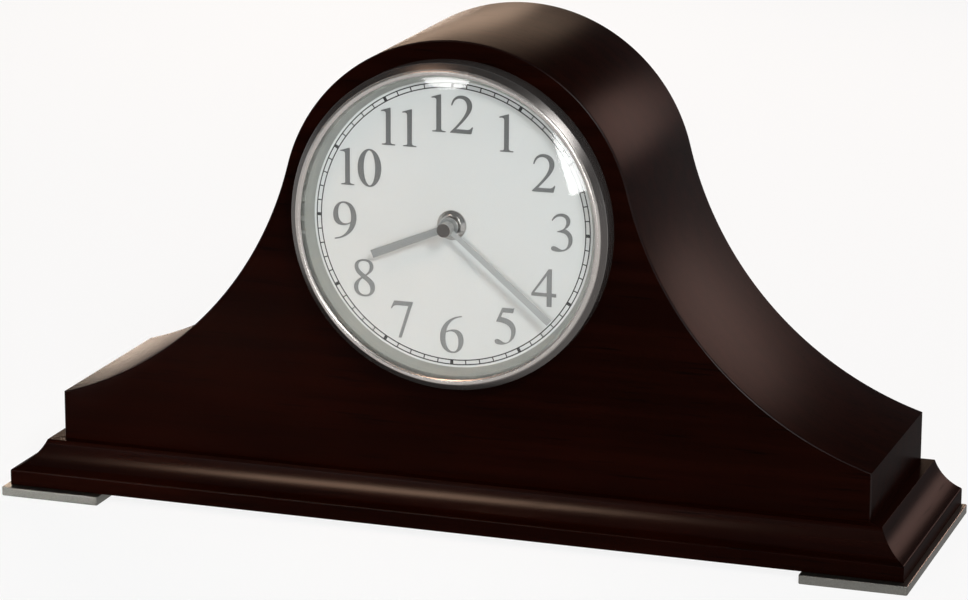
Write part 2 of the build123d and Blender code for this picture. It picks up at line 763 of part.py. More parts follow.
# Hands

def hand(length, root, tip, hub, bore, gap, angle):
    """Flat baton that widens towards its square tip, lying a gap in front of the dial."""
    corners = [(-root / 2, 0), (root / 2, 0), (tip / 2, length), (-tip / 2, length)]
    blade = make_face(Polyline(*corners, close=True))
    outline = blade + Circle(hub) - Circle(bore)
    return slab(Pos(*shaft_spot) * Rot(0, 0, -angle) * outline,
                dial_face - gap - hand_thickness, dial_face - gap)


def hour_hand():
    return hand(hour_hand_length, hour_hand_root, hour_hand_tip, 2 * tube_radius, tube_radius + fixed,
                hour_hand_gap, hour_hand_angle)


def minute_hand():
    return hand(minute_hand_length, minute_hand_root, minute_hand_tip, hand_nut_radius + play,
                arbor_radius + fixed, minute_hand_gap, minute_hand_angle)


def hand_nut():
    seat = dial_face - minute_hand_gap - hand_thickness
    top = seat - hand_nut_height
    cap = rod(shaft_spot, hand_nut_radius, top, seat)
    cap = fillet(cap.faces().sort_by(Axis.Y)[0].edges(), play)
    return cap - rod(shaft_spot, arbor_radius + fixed, top + cap_thickness, seat)


# Gear train

def involute(angle):
    return tan(angle) - angle


def gear(teeth, module):
    """Involute gear outline with a tooth on +X, thinned for backlash."""
    pitch = module * teeth / 2
    base = pitch * cos(radians(pressure_angle))
    radii = [pitch - dedendum * module, pitch, pitch + addendum * module]
    pitch_half = tooth_share * pi / teeth + involute(radians(pressure_angle))
    halves = [pitch_half - involute(acos(min(1, base / radius))) for radius in radii]
    points = []
    for tooth in range(teeth):
        centre = 2 * pi * tooth / teeth
        for radius, half in zip(radii, halves):
            points.append((radius * cos(centre - half), radius * sin(centre - half)))
        for radius, half in zip(reversed(radii), reversed(halves)):
            points.append((radius * cos(centre + half), radius * sin(centre + half)))
    return make_face(Polyline(*points, close=True))


def gear_layer(spot, teeth, module, phase, front, back):
    """Gear between two depths, its first tooth at a phase angle from +X towards +Z."""
    return slab(Pos(*spot) * Rot(0, 0, phase) * gear(teeth, module), front, back)


def pinion_layer(spot, teeth, module, phase, layer):
    return gear_layer(spot, teeth, module, phase,
                      layer - pinion_margin, layer + wheel_thickness + pinion_margin)


def wheel_layer(spot, teeth, module, phase, layer):
    return gear_layer(spot, teeth, module, phase, layer, layer + wheel_thickness)


def half_pitch(teeth):
    return 180 / teeth


def minute_arbor():
    """Hand shaft with the cannon pinion, a shoulder under the minute hand and a rear pivot."""
    shoulder = dial_face - minute_hand_gap
    tip = shoulder - hand_thickness - hand_nut_height + 2 * cap_thickness
    arbor = rod(shaft_spot, arbor_radius, tip, plate_layer - play)
    arbor += rod(shaft_spot, tube_radius - clear, shoulder, shoulder + collar_thickness)
    arbor += pinion_layer(shaft_spot, cannon_teeth, cannon_module, 180, minute_layer)
    return arbor + rod(shaft_spot, pivot_radius, plate_layer - play, plate_layer + plate_thickness)


def centre_wheel():
    hub_end = centre_layer + wheel_thickness + wheel_gap
    wheel = wheel_layer(shaft_spot, centre_teeth, train_module, 90, centre_layer)
    wheel += rod(shaft_spot, 2 * arbor_radius, centre_layer, hub_end)
    return wheel - rod(shaft_spot, arbor_radius + fixed, centre_layer, hub_end)


def hour_wheel():
    front = dial_face - hour_hand_gap - hand_thickness - play
    wheel = wheel_layer(shaft_spot, hour_teeth, hour_module, 180, hour_layer)
    wheel += rod(shaft_spot, tube_radius, front, hour_layer)
    return wheel - rod(shaft_spot, arbor_radius + running, front, hour_layer + wheel_thickness)


def minute_wheel():
    wheel = wheel_layer(minute_spot, minute_teeth, cannon_module, half_pitch(minute_teeth), minute_layer)
    wheel += gear_layer(minute_spot, minute_pinion_teeth, hour_module, half_pitch(minute_pinion_teeth),
                        hour_layer - pinion_margin, minute_layer)
    return wheel - rod(minute_spot, stud_radius + running, wall_inner, centre_layer)


def third_wheel():
    phase = 270 + half_pitch(third_pinion_teeth)
    wheel = wheel_layer(third_spot, third_teeth, train_module, 0, third_layer)
    wheel += gear_layer(third_spot, third_pinion_teeth, train_module, phase,
                        centre_layer - pinion_margin, third_layer)
    wheel += rod(third_spot, stud_radius, wall_inner + play, plate_layer - play)
    return wheel + rod(third_spot, pivot_radius, wall_inner - pivot_depth, plate_layer + plate_thickness)


def rotor():
    rotor = pinion_layer(rotor_spot, rotor_teeth, train_module, 180 + half_pitch(rotor_teeth), third_layer)
    rotor += rod(rotor_spot, magnet_radius, rotor_layer, rotor_layer + magnet_height)
    rotor += rod(rotor_spot, stud_radius, wall_inner + play, plate_layer - play)
    return rotor + rod(rotor_spot, pivot_radius, wall_inner - pivot_depth, plate_layer + plate_thickness)


def stator():
    """Flat iron loop: a head round the rotor, a core for the coil and a foot."""
    spans = [(stator_left, core_start, stator_width), (core_start, core_end, core_width),
             (core_end, stator_right, stator_width)]
    outline = Sketch()
    for left, right, height in spans:
        outline += Pos((left + right) / 2, rotor_spot[1]) * Rectangle(right - left, height)
    outline -= Pos(*rotor_spot) * Circle(magnet_radius + stator_gap)
    return slab(outline, stator_layer, stator_layer + stator_thickness)


def coil():
    middle_y = stator_layer + stator_thickness / 2
    middle_z = rotor_spot[1]
    winding = block(core_start + clear, core_end - clear,
                    middle_y - coil_width / 2, middle_y + coil_width / 2,
                    middle_z - coil_width / 2, middle_z + coil_width / 2)
    winding = fillet(winding.edges().filter_by(Axis.X), coil_width / 4)
    return winding - block(core_start, core_end,
                           stator_layer - fixed, stator_layer + stator_thickness + fixed,
                           middle_z - core_width / 2 - fixed, middle_z + core_width / 2 + fixed)


def train_plate():
    outline = Pos((plate_left + plate_right) / 2, (plate_base + plate_top) / 2) * Rectangle(
        plate_right - plate_left, plate_top - plate_base)
    for spot in (shaft_spot, third_spot, rotor_spot):
        outline -= Pos(*spot) * Circle(pivot_radius + running)
    outline -= Pos(*set_spot) * Circle(set_shaft_radius + running)
    return slab(outline, plate_layer, plate_layer + plate_thickness)


# Movement case

def bay_walls(front, back):
    """Three walls round the battery bay, between two depths."""
    floor = movement_base + movement_wall
    outer = cell_bay + movement_wall
    walls = block(-outer, outer, front, back, bay_top, bay_top + movement_wall)
    walls += block(-outer, -cell_bay, front, back, floor, bay_top)
    return walls + block(cell_bay, outer, front, back, floor, bay_top)


def movement_shell(front, back, cavity_front, cavity_back):
    """Half of the case: a box with a hollow and solid corner posts."""
    shell = block(-half_movement, half_movement, front, back, movement_base, movement_top)
    shell -= block(-half_movement + movement_wall, half_movement - movement_wall, cavity_front, cavity_back,
                   movement_base + movement_wall, movement_top - movement_wall)
    for spot in corner_spots:
        shell += rod(spot, corner_post_radius, front, back)
    return shell + bay_walls(cavity_front, cavity_back)


def movement_front_case():
    shell = movement_shell(movement_face, split, wall_inner, split)
    shell += rod(minute_spot, stud_radius, movement_face, minute_layer + wheel_thickness + play)
    for spot in post_spots:
        shell += rod(spot, post_radius, movement_face, plate_layer)
    for spot in stator_posts:
        shell += rod(spot, post_radius, movement_face, stator_layer)
    for side in (-1, 1):
        middle = side * cell_length / 4
        shell += block(middle - saddle_thickness / 2, middle + saddle_thickness / 2, wall_inner,
                       cell_spot_y - cell_radius / 2, movement_base + movement_wall, bay_top)
    shell -= battery_cylinder(cell_radius + play)
    shell -= rod(shaft_spot, bush_radius + fixed, movement_face, wall_inner)
    for spot in (third_spot, rotor_spot, set_spot):
        shell -= rod(spot, pivot_radius + running, wall_inner - pivot_depth - play, wall_inner)
    for spot in corner_spots:
        shell -= rod(spot, case_screw_radius + fixed, split - movement_split / 2, split)
    return shell


def movement_rear_case():
    shell = movement_shell(split, movement_rear, split, rear_inner)
    shell -= block(-cell_bay, cell_bay, split, movement_rear, movement_base + movement_wall, bay_top)
    for spot in board_posts:
        shell += rod(spot, post_radius, board_layer + board_thickness, rear_inner)
    collar = Circle(speaker_radius + movement_wall) - Circle(speaker_radius + play)
    shell += slab(Pos(*speaker_spot) * collar, rear_inner - speaker_flange, rear_inner)
    shell -= rod(set_spot, set_shaft_radius + running, split, movement_rear)
    shell -= rod(volume_spot, volume_shaft_radius + running, split, movement_rear)
    for spot, travel in ((chime_spot, chime_travel), (night_spot, night_travel)):
        slot = Pos(*spot) * Rectangle(slider_grip + travel + 2 * clear, slider_grip / 2 + 2 * play)
        shell -= slab(slot, rear_inner, movement_rear)
    for step in range(grille_slots):
        z = speaker_spot[1] + (step - (grille_slots - 1) / 2) * grille_pitch
        slot = Pos(speaker_spot[0], z) * Rectangle(speaker_radius, grille_slot_width)
        shell -= slab(slot, rear_inner, movement_rear)
    for spot in corner_spots:
        shell -= rod(spot, case_screw_radius + play, split, movement_rear)
        shell -= rod(spot, case_screw_head + play, movement_rear - movement_wall, movement_rear)
    return shell


def movement_screws():
    seat = movement_rear - movement_wall
    return Compound(children=[
        rod(spot, case_screw_radius, split - movement_split / 2 + play, seat)
        + rod(spot, case_screw_head, seat, movement_rear - play)
        for spot in corner_spots])


def movement_bush():
    bush = rod(shaft_spot, bush_radius, dial_face - bush_lead, wall_inner)
    end = wall_inner + bush_flange_thickness
    bush += rod(shaft_spot, bush_flange, wall_inner, end)
    return bush - rod(shaft_spot, tube_radius + running, dial_face - bush_lead, end)


def rubber_washer():
    ring = Circle(washer_radius) - Circle(bush_radius + clear)
    return slab(Pos(*shaft_spot) * ring, panel_rear, movement_face)


# Circuit board, speaker and battery

def circuit_board():
    board = block(board_left, board_right, board_layer, board_layer + board_thickness, board_base, board_top)
    board -= rod(set_spot, set_shaft_radius + clear, board_layer, board_layer + board_thickness)
    chip = rod((board_left + board_width / 4, board_top - board_width / 4), chip_radius,
               board_layer + board_thickness, board_layer + 2 * board_thickness)
    return board + chip


def quartz_crystal():
    x = board_right - board_width / 4
    can = Rot(0, 90, 0) * Cylinder(crystal_radius, crystal_length)
    return Pos(x, board_layer + board_thickness + crystal_radius + fixed, board_top - board_width / 4) * can


def speaker_frame():
    """Basket: a flange on the rear wall that tapers forward to the magnet."""
    flange = rear_inner - speaker_flange
    seat = rear_inner - speaker_depth + magnet_pot_height
    throat = magnet_pot_radius
    mouth = speaker_radius - 2 * speaker_flange
    return turned([(speaker_radius, rear_inner), (speaker_radius, flange), (mouth + speaker_flange, flange),
                   (throat, seat), (throat / 2, seat), (throat / 2, seat + speaker_flange),
                   (throat - cone_thickness, seat + speaker_flange), (mouth, flange), (mouth, rear_inner)],
                  speaker_spot)


def speaker_magnet():
    seat = rear_inner - speaker_depth + magnet_pot_height
    pot = rod(speaker_spot, magnet_pot_radius, seat - magnet_pot_height, seat)
    return fillet(pot.faces().sort_by(Axis.Y)[0].edges(), magnet_round)


def speaker_cone():
    """Paper cone whose rim is glued inside the flange."""
    rim = speaker_radius - 2 * speaker_flange - fixed
    front = rear_inner - speaker_flange
    throat = magnet_pot_radius / 2
    deep = rear_inner - speaker_depth + magnet_pot_height + speaker_flange + clear
    return turned([(rim, front), (rim, front + cone_thickness),
                   (rim - speaker_flange, front + cone_thickness),
                   (throat, deep + cone_thickness), (0, deep + cone_thickness), (0, deep), (throat, deep),
                   (rim - speaker_flange, front)], speaker_spot)


def battery_cylinder(radius, left=-cell_bay, right=cell_bay):
    rotated = Rot(0, 90, 0) * Cylinder(radius, right - left)
    return Pos((left + right) / 2, cell_spot_y, cell_spot_z) * rotated


def battery_cell():
    half = cell_length / 2
    can = fillet(battery_cylinder(cell_radius, -half, half - cell_nub).edges(), cell_round)
    return can + battery_cylinder(cell_nub_radius, half - cell_nub, half)


def battery_contacts():
    """Spring plates at the two ends of the cell, each with a raised button."""
    contacts = []
    half = cell_length / 2 + fixed
    for side in (-1, 1):
        edges = sorted((side * cell_bay, side * (cell_bay - contact_thickness)))
        plate = block(edges[0], edges[1], cell_spot_y - contact_size / 2, cell_spot_y + contact_size / 2,
                      cell_spot_z - contact_size / 2, cell_spot_z + contact_size / 2)
        ends = sorted((side * half, side * cell_bay))
        contacts.append(plate + battery_cylinder(cell_nub_radius, ends[0], ends[1]))
    return Compound(children=contacts)


# Controls on the back of the movement

def grip_ribs(spot, front, back):
    """Knob with a grooved rim."""
    outline = Circle(knob_radius)
    for groove in range(knob_grooves):
        angle = 2 * pi * groove / knob_grooves
        outline -= Pos(knob_radius * cos(angle), knob_radius * sin(angle)) * Circle(knob_groove_radius)
    return slab(Pos(*spot) * outline, front, back)


def set_knob():
    """Time-setting knob, its shaft and the pinion that turns the minute wheel."""
    knob = grip_ribs(set_spot, movement_rear + clear, movement_rear + clear + knob_height)
    knob += rod(set_spot, set_shaft_radius, minute_layer, movement_rear + clear)
    knob += pinion_layer(set_spot, cannon_teeth, cannon_module, 0, minute_layer)
    return knob + rod(set_spot, pivot_radius, wall_inner - pivot_depth, minute_layer)


def volume_knob():
    knob = grip_ribs(volume_spot, movement_rear + clear, movement_rear + clear + knob_height)
    knob += rod(volume_spot, volume_shaft_radius, rear_inner - play, movement_rear + clear)
    knob += rod(volume_spot, 2 * volume_shaft_radius, rear_inner - play - wheel_thickness, rear_inner - play)
    mark = Pos(volume_spot[0], volume_spot[1] + knob_radius / 2) * Rectangle(mark_width, knob_radius / 2)
    rear_end = movement_rear + clear + knob_height
    return knob - slab(mark, rear_end - mark_depth, rear_end)


def slider(spot):
    """Switch slider: a plate inside the rear wall, a neck through the slot and a grip outside."""
    plate = Pos(*spot) * Rectangle(slider_plate, 2 * slider_grip)
    neck = Pos(*spot) * Rectangle(slider_grip, slider_grip / 2)
    grip = Pos(*spot) * Rectangle(slider_grip, slider_grip)
    piece = slab(plate, rear_inner - play - slider_plate_thickness, rear_inner - play)
    piece += slab(neck, rear_inner - play, movement_rear + play)
    return piece + slab(grip, movement_rear + play, movement_rear + slider_reach)


def chime_switch():
    return slider(chime_spot)


def night_switch():
    return slider((night_spot[0] - night_travel / 2, night_spot[1]))


# Rear door with its hinges and catch

def hinge_screw_spots(side):
    """Two screw places on each hinge leaf, on the case side (-1) or the door side (1)."""
    x = hinge_x + side * (knuckle_radius + hinge_leaf_width) / 2
    return [(x, height + step * hinge_leaf_height / 4) for height in hinge_heights for step in (-1, 1)]


def rear_door():
    outline = Pos(0, (door_top + door_base) / 2) * Rectangle(door_width, door_top - door_base)
    slot = SlotOverall(sound_slot_length, sound_slot_width, rotation=90)
    for step in range(sound_slots):
        x = (step - (sound_slots - 1) / 2) * sound_slot_pitch
        outline -= Pos(x, dial_z + door_rise / 2) * slot
    for spot in hinge_screw_spots(1):
        outline -= Pos(*spot) * Circle(hinge_screw_radius + fixed)
    outline -= Pos(*door_knob_spot) * Circle(hinge_pin_radius + fixed)
    return slab(outline, back_inner, back_face)


def door_knob():
    neck = door_knob_radius / 2
    top = back_face + door_knob_height
    knob = rod(door_knob_spot, neck, back_face, top)
    head = rod(door_knob_spot, door_knob_radius, back_face + door_knob_height / 2, top)
    knob += fillet(head.edges(), door_knob_round)
    return knob + rod(door_knob_spot, hinge_pin_radius, back_inner, back_face)


def hinge_leaf(side, height, bore):
    """Leaf on the case side with two outer knuckles, or on the door side with the middle one."""
    third = hinge_leaf_height / 3
    near = hinge_x + side * (knuckle_radius + clear)
    far = hinge_x + side * hinge_leaf_width
    leaf = block(min(near, far), max(near, far), back_face, back_face + hinge_leaf_thickness,
                 height - hinge_leaf_height / 2, height + hinge_leaf_height / 2)
    spans = [(-1.5, -0.5), (0.5, 1.5)] if side < 0 else [(-0.5, 0.5)]
    for low, high in spans:
        base = height + low * third + play
        top = height + high * third - play
        root = near + side * clear
        leaf += block(min(hinge_x, root), max(hinge_x, root), hinge_y - knuckle_radius,
                      hinge_y - knuckle_radius + hinge_leaf_thickness, base, top)
        leaf += upright((hinge_x, hinge_y), knuckle_radius, base, top)
        leaf -= upright((hinge_x, hinge_y), hinge_pin_radius + bore, base, top)
    for spot in hinge_screw_spots(side):
        leaf -= rod(spot, hinge_screw_radius + fixed, back_face, back_face + 2 * hinge_leaf_thickness)
    return leaf


def hinge_case_leaves():
    return Compound(children=[hinge_leaf(-1, height, fixed) for height in hinge_heights])


def hinge_door_leaves():
    return Compound(children=[hinge_leaf(1, height, running) for height in hinge_heights])


def hinge_pins():
    return Compound(children=[
        upright((hinge_x, hinge_y), hinge_pin_radius, height - hinge_leaf_height / 2,
                height + hinge_leaf_height / 2)
        for height in hinge_heights])


def hinge_screws(side):
    """Small screws with low round heads that stand on the leaf."""
    seat = back_face + hinge_leaf_thickness
    return Compound(children=[
        rod(spot, hinge_screw_radius, seat - hinge_screw_length, seat)
        + rod(spot, 2 * hinge_screw_radius, seat, seat + hinge_screw_radius)
        for spot in hinge_screw_spots(side)])


def catch_corner():
    """Left edge and base of the catch magnet, which reaches behind the door's free edge."""
    return door_width / 2 - catch_size + door_gap, door_knob_spot[1] - catch_length / 2


def catch_magnet():
    left, base = catch_corner()
    rear_side = back_inner - catch_plate_thickness - play
    return block(left, left + catch_size, rear_side - catch_size, rear_side, base, base + catch_length)


def catch_plate():
    left, base = catch_corner()
    return block(left, door_width / 2, back_inner - catch_plate_thickness, back_inner,
                 base, base + catch_length)


pieces = {
    "front_panel": front_panel(),
    "top_skin": top_skin(),
    "end_panel_left": mirrored(end_panel_right()),
    "end_panel_right": end_panel_right(),
    "back_panel": back_panel(),
    "glue_blocks": glue_blocks(),
    "base_board": base_board(),
    "base_moulding_front": base_moulding_front(),
    "base_moulding_left": mirrored(base_moulding_right()),
    "base_moulding_right": base_moulding_right(),
    "foot_plate_left": mirrored(foot_plate_right()),
    "foot_plate_right": foot_plate_right(),
    "foot_screws": foot_screws(),
    "case_screws": case_screws(),
    "back_screws": back_screws(),
    "bezel_ring": bezel_ring(),
    "bezel_screws": bezel_screws(),
    "lens": lens(),
    "inner_ring": inner_ring(),
    "dial_plate": dial_plate(),
    "dial_backing": dial_backing_disc(),
    "numerals": numerals(),
    "dial_nut": dial_nut(),
    "hour_hand": hour_hand(),
    "minute_hand": minute_hand(),
    "hand_nut": hand_nut(),
    "minute_arbor": minute_arbor(),
    "centre_wheel": centre_wheel(),
    "hour_wheel": hour_wheel(),
    "minute_wheel": minute_wheel(),
    "third_wheel": third_wheel(),
    "rotor": rotor(),
    "stator": stator(),
    "coil": coil(),
    "train_plate": train_plate(),
    "movement_front_case": movement_front_case(),
    "movement_rear_case": movement_rear_case(),
    "movement_screws": movement_screws(),
    "movement_bush": movement_bush(),
    "rubber_washer": rubber_washer(),
    "circuit_board": circuit_board(),
    "quartz_crystal": quartz_crystal(),
    "speaker_frame": speaker_frame(),
    "speaker_magnet": speaker_magnet(),
    "speaker_cone": speaker_cone(),
    "battery_cell": battery_cell(),
    "battery_contacts": battery_contacts(),
    "set_knob": set_knob(),
    "volume_knob": volume_knob(),
    "chime_switch": chime_switch(),
    "night_switch": night_switch(),
    "rear_door": rear_door(),
    "door_knob": door_knob(),
    "hinge_case_leaves": hinge_case_leaves(),
    "hinge_door_leaves": hinge_door_leaves(),
    "hinge_pins": hinge_pins(),
    "hinge_case_screws": hinge_screws(-1),
    "hinge_door_screws": hinge_screws(1),
    "catch_magnet": catch_magnet(),
    "catch_plate": catch_plate(),
}

os.makedirs("parts", exist_ok=True)
for name, piece in pieces.items():
    export_step(piece, f"parts/{name}.step")
print(len(pieces), "pieces written")
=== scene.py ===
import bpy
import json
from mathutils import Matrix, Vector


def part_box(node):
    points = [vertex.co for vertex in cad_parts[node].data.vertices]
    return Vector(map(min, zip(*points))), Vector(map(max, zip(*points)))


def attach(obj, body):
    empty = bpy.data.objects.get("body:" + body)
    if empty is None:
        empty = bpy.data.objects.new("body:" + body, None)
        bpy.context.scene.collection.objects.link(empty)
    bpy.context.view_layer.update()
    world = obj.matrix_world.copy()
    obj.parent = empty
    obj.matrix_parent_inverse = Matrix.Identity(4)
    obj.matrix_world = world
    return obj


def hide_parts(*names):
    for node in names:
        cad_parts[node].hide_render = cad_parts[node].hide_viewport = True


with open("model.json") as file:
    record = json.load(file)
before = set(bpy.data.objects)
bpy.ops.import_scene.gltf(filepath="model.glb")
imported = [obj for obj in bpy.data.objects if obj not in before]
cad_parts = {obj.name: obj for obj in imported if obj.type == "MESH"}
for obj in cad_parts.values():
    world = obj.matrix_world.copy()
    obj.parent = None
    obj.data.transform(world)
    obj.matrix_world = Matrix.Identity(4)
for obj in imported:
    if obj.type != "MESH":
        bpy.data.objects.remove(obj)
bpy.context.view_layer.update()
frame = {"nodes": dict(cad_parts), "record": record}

import json
import math

import bmesh
import bpy
from mathutils import Matrix, Quaternion, Vector

mm = 0.001
nodes = frame["nodes"]
print("frame loaded,", len(nodes), "nodes")


# Node trees: Wire is an output that takes part in plain maths, Graph adds any node

class Wire:
    def __init__(self, graph, socket):
        self.graph = graph
        self.socket = socket

    def maths(self, operation, *terms):
        return self.graph.add("ShaderNodeMath", {"operation": operation}, dict(enumerate(terms)))

    def __add__(self, other):
        return self.maths("ADD", self, other)

    def __radd__(self, other):
        return self.maths("ADD", other, self)

    def __sub__(self, other):
        return self.maths("SUBTRACT", self, other)

    def __rsub__(self, other):
        return self.maths("SUBTRACT", other, self)

    def __mul__(self, other):
        return self.maths("MULTIPLY", self, other)

    def __rmul__(self, other):
        return self.maths("MULTIPLY", other, self)

    def __truediv__(self, other):
        return self.maths("DIVIDE", self, other)

    def __rtruediv__(self, other):
        return self.maths("DIVIDE", other, self)

    def __pow__(self, other):
        return self.maths("POWER", self, other)

    def __gt__(self, other):
        return self.maths("GREATER_THAN", self, other)

    def __lt__(self, other):
        return self.maths("LESS_THAN", self, other)


class Graph:
    def __init__(self, tree):
        self.tree = tree

    def add(self, kind, settings=None, values=None, out=0):
        node = self.tree.nodes.new(kind)
        for name, value in (settings or {}).items():
            setattr(node, name, value)
        for name, value in (values or {}).items():
            for item in value if isinstance(value, list) else [value]:
                if isinstance(item, Wire):
                    self.tree.links.new(item.socket, node.inputs[name])
                else:
                    node.inputs[name].default_value = item
        return Wire(self, node.outputs[out])

    def blend(self, factor, first, second):
        return self.add("ShaderNodeMix", {"data_type": "RGBA"}, {0: factor, 6: first, 7: second}, 2)

    def between(self, value, low, high):  # 0 below low, 1 above high, smooth between
        settings = {"interpolation_type": "SMOOTHSTEP"}
        return self.add("ShaderNodeMapRange", settings, {"Value": value, "From Min": low, "From Max": high})


class Finish(Graph):
    def __init__(self, name, constants):
        self.material = bpy.data.materials.new(name)
        self.material.use_nodes = True
        super().__init__(self.material.node_tree)
        self.shader = self.tree.nodes["Principled BSDF"]
        for socket, value in constants.items():
            self.shader.inputs[socket].default_value = value
        self.place = self.add("ShaderNodeTexCoord", out="Object")

    def feed(self, socket, wire):
        self.tree.links.new(wire.socket, self.shader.inputs[socket])

    def stretched(self, scale, turn=(0, 0, 0)):
        return self.add("ShaderNodeMapping", None,
                        {"Vector": self.place, "Scale": tuple(scale), "Rotation": turn})

    def noise(self, vector, scale=1.0, detail=4.0, roughness=0.55):
        return self.add("ShaderNodeTexNoise", None,
                        {"Vector": vector, "Scale": scale, "Detail": detail, "Roughness": roughness})

    def bump(self, height, distance):
        self.feed("Normal", self.add("ShaderNodeBump", None,
                                     {"Height": height, "Distance": distance, "Strength": 1.0}))

    def part(self, axis):
        return self.add("ShaderNodeSeparateXYZ", None, {"Vector": self.place}, "XYZ".index(axis))


def grey(level):
    return (level, level, level, 1)


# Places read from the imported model

dialLow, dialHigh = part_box("dial_plate")
dialCentre = Vector((0, dialLow.y, (dialLow.z + dialHigh.z) / 2))
panelLow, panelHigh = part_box("front_panel")
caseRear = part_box("top_skin")[1].y


# Finishes

woodLook = {"deep": (0.0045, 0.0006, 0.0001, 1), "warm": (0.0088, 0.0014, 0.0005, 1), "pore": grey(0.0003),
            "roughness": 0.55, "lacquer": 0.062, "lacquerRoughness": 0.30, "along": 5.0, "across": 150.0,
            "finer": 6, "cloud": 14, "peel": 420, "relief": 0.02 * mm, "poreBand": (0.60, 0.72),
            "toneBand": (0.36, 0.66)}
hollowLook = {"low": 13.0 * mm, "high": 23.6 * mm, "soft": 1.5 * mm, "pooled": 3.0, "roughness": 0.24}
frontLook = {"face": panelLow.y, "soft": 0.1 * mm, "rubbed": 0.7, "arris": 0.8 * mm, "gathered": 4.0}
bandLook = {"face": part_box("base_moulding_front")[0].y, "soft": 0.1 * mm, "rubbed": 0.6, "arris": 0.3 * mm,
            "gathered": 1.6}


def espressoWood(name, grainAxis, front, hollow=None):
    # dark stain under a thin satin lacquer, which is the coat: rubbed down in front, thicker on the arris
    # round the front face and in a hollow
    roughness = hollow["roughness"] if hollow else woodLook["lacquerRoughness"]
    wood = Finish(name, {"Specular IOR Level": 0.0, "Coat Roughness": roughness, "Coat IOR": 1.5})
    coarse = [woodLook["across"]] * 3
    coarse["XYZ".index(grainAxis)] = woodLook["along"]
    fine = [size * woodLook["finer"] for size in coarse]
    streak = wood.noise(wood.stretched(coarse), detail=5)
    pores = wood.between(wood.noise(wood.stretched(fine), detail=2), *woodLook["poreBand"])
    cloud = wood.noise(wood.place, scale=woodLook["cloud"], detail=3)
    tone = wood.between(streak * 0.7 + cloud * 0.3, *woodLook["toneBand"])
    colour = wood.blend(tone, woodLook["deep"], woodLook["warm"])
    wood.feed("Base Color", wood.blend(pores * 0.6, colour, woodLook["pore"]))
    depth = wood.part("Y") - front["face"]
    rubbed = wood.between(depth, front["soft"], 0)
    arris = (1 - rubbed) * wood.between(depth, front["arris"], front["arris"] / 2)
    lacquer = woodLook["lacquer"] * (1.1 - 0.2 * cloud - 0.25 * pores)
    lacquer = lacquer * (1 - front["rubbed"] * rubbed + front["gathered"] * arris)
    if hollow:
        height = wood.part("Z")
        rising = wood.between(height, hollow["low"], hollow["low"] + hollow["soft"])
        falling = wood.between(height, hollow["high"], hollow["high"] - hollow["soft"])
        lacquer = lacquer * (1 + hollow["pooled"] * rising * falling)
    wood.feed("Coat Weight", lacquer)
    wood.feed("Roughness", woodLook["roughness"] + 0.2 * streak)
    peel = wood.noise(wood.place, scale=woodLook["peel"], detail=1)
    wood.bump(peel * 0.35 - pores * 0.5, woodLook["relief"])
    return wood.material


boardLook = {"deep": (0.012, 0.0045, 0.0026, 1), "warm": (0.034, 0.015, 0.009, 1), "pore": grey(0.003),
             "streaks": (4, 90, 130), "pores": (30, 400, 700), "poreBand": (0.58, 0.7), "roughness": 0.5,
             "relief": 0.04 * mm}


def backBoard():
    board = Finish("back board", {"Specular IOR Level": 0.35})
    streak = board.noise(board.stretched(boardLook["streaks"]), detail=6)
    pores = board.noise(board.stretched(boardLook["pores"]), detail=2)
    pores = board.between(pores, *boardLook["poreBand"])
    colour = board.blend(board.between(streak, 0.3, 0.7), boardLook["deep"], boardLook["warm"])
    board.feed("Base Color", board.blend(pores * 0.7, colour, boardLook["pore"]))
    board.feed("Roughness", boardLook["roughness"] + 0.15 * streak)
    board.bump(pores * -1.0, boardLook["relief"])
    return board.material


pineLook = {"early": (0.50, 0.31, 0.15, 1), "late": (0.66, 0.47, 0.27, 1), "streaks": (6, 60, 90),
            "rings": (2, 30, 60), "roughness": 0.6, "relief": 0.1 * mm,
            "stainDeep": (0.010, 0.0035, 0.002, 1), "stainWarm": (0.026, 0.011, 0.0065, 1),
            "stainEdge": 0.4 * mm, "stainCreep": 0.6 * mm, "stainDepth": 1.5 * mm}


def plainWood(name, stainFrom=None):
    # stainFrom: the rear edge beyond this depth is stained like the case
    pine = Finish(name, {"Specular IOR Level": 0.3})
    streak = pine.noise(pine.stretched(pineLook["streaks"]), detail=6)
    rings = pine.add("ShaderNodeTexWave", {"bands_direction": "Z"},
                     {"Vector": pine.stretched(pineLook["rings"]), "Scale": 1.0, "Distortion": 6.0,
                      "Detail": 3.0}, 1)
    colour = pine.blend(rings * 0.6 + streak * 0.4, pineLook["early"], pineLook["late"])
    if stainFrom is not None:
        reach = pine.part("Y") + pineLook["stainCreep"] * streak
        stain = pine.between(reach, stainFrom, stainFrom + pineLook["stainEdge"])
        dark = pine.blend(rings * 0.5 + streak * 0.5, pineLook["stainDeep"], pineLook["stainWarm"])
        colour = pine.blend(stain, colour, dark)
    pine.feed("Base Color", colour)
    pine.feed("Roughness", pineLook["roughness"] + 0.2 * streak)
    pine.bump(streak, pineLook["relief"])
    return pine.material


brushLook = {"across": 2200.0, "along": 22.0, "smears": 60, "dull": 0.78, "relief": 0.012 * mm}


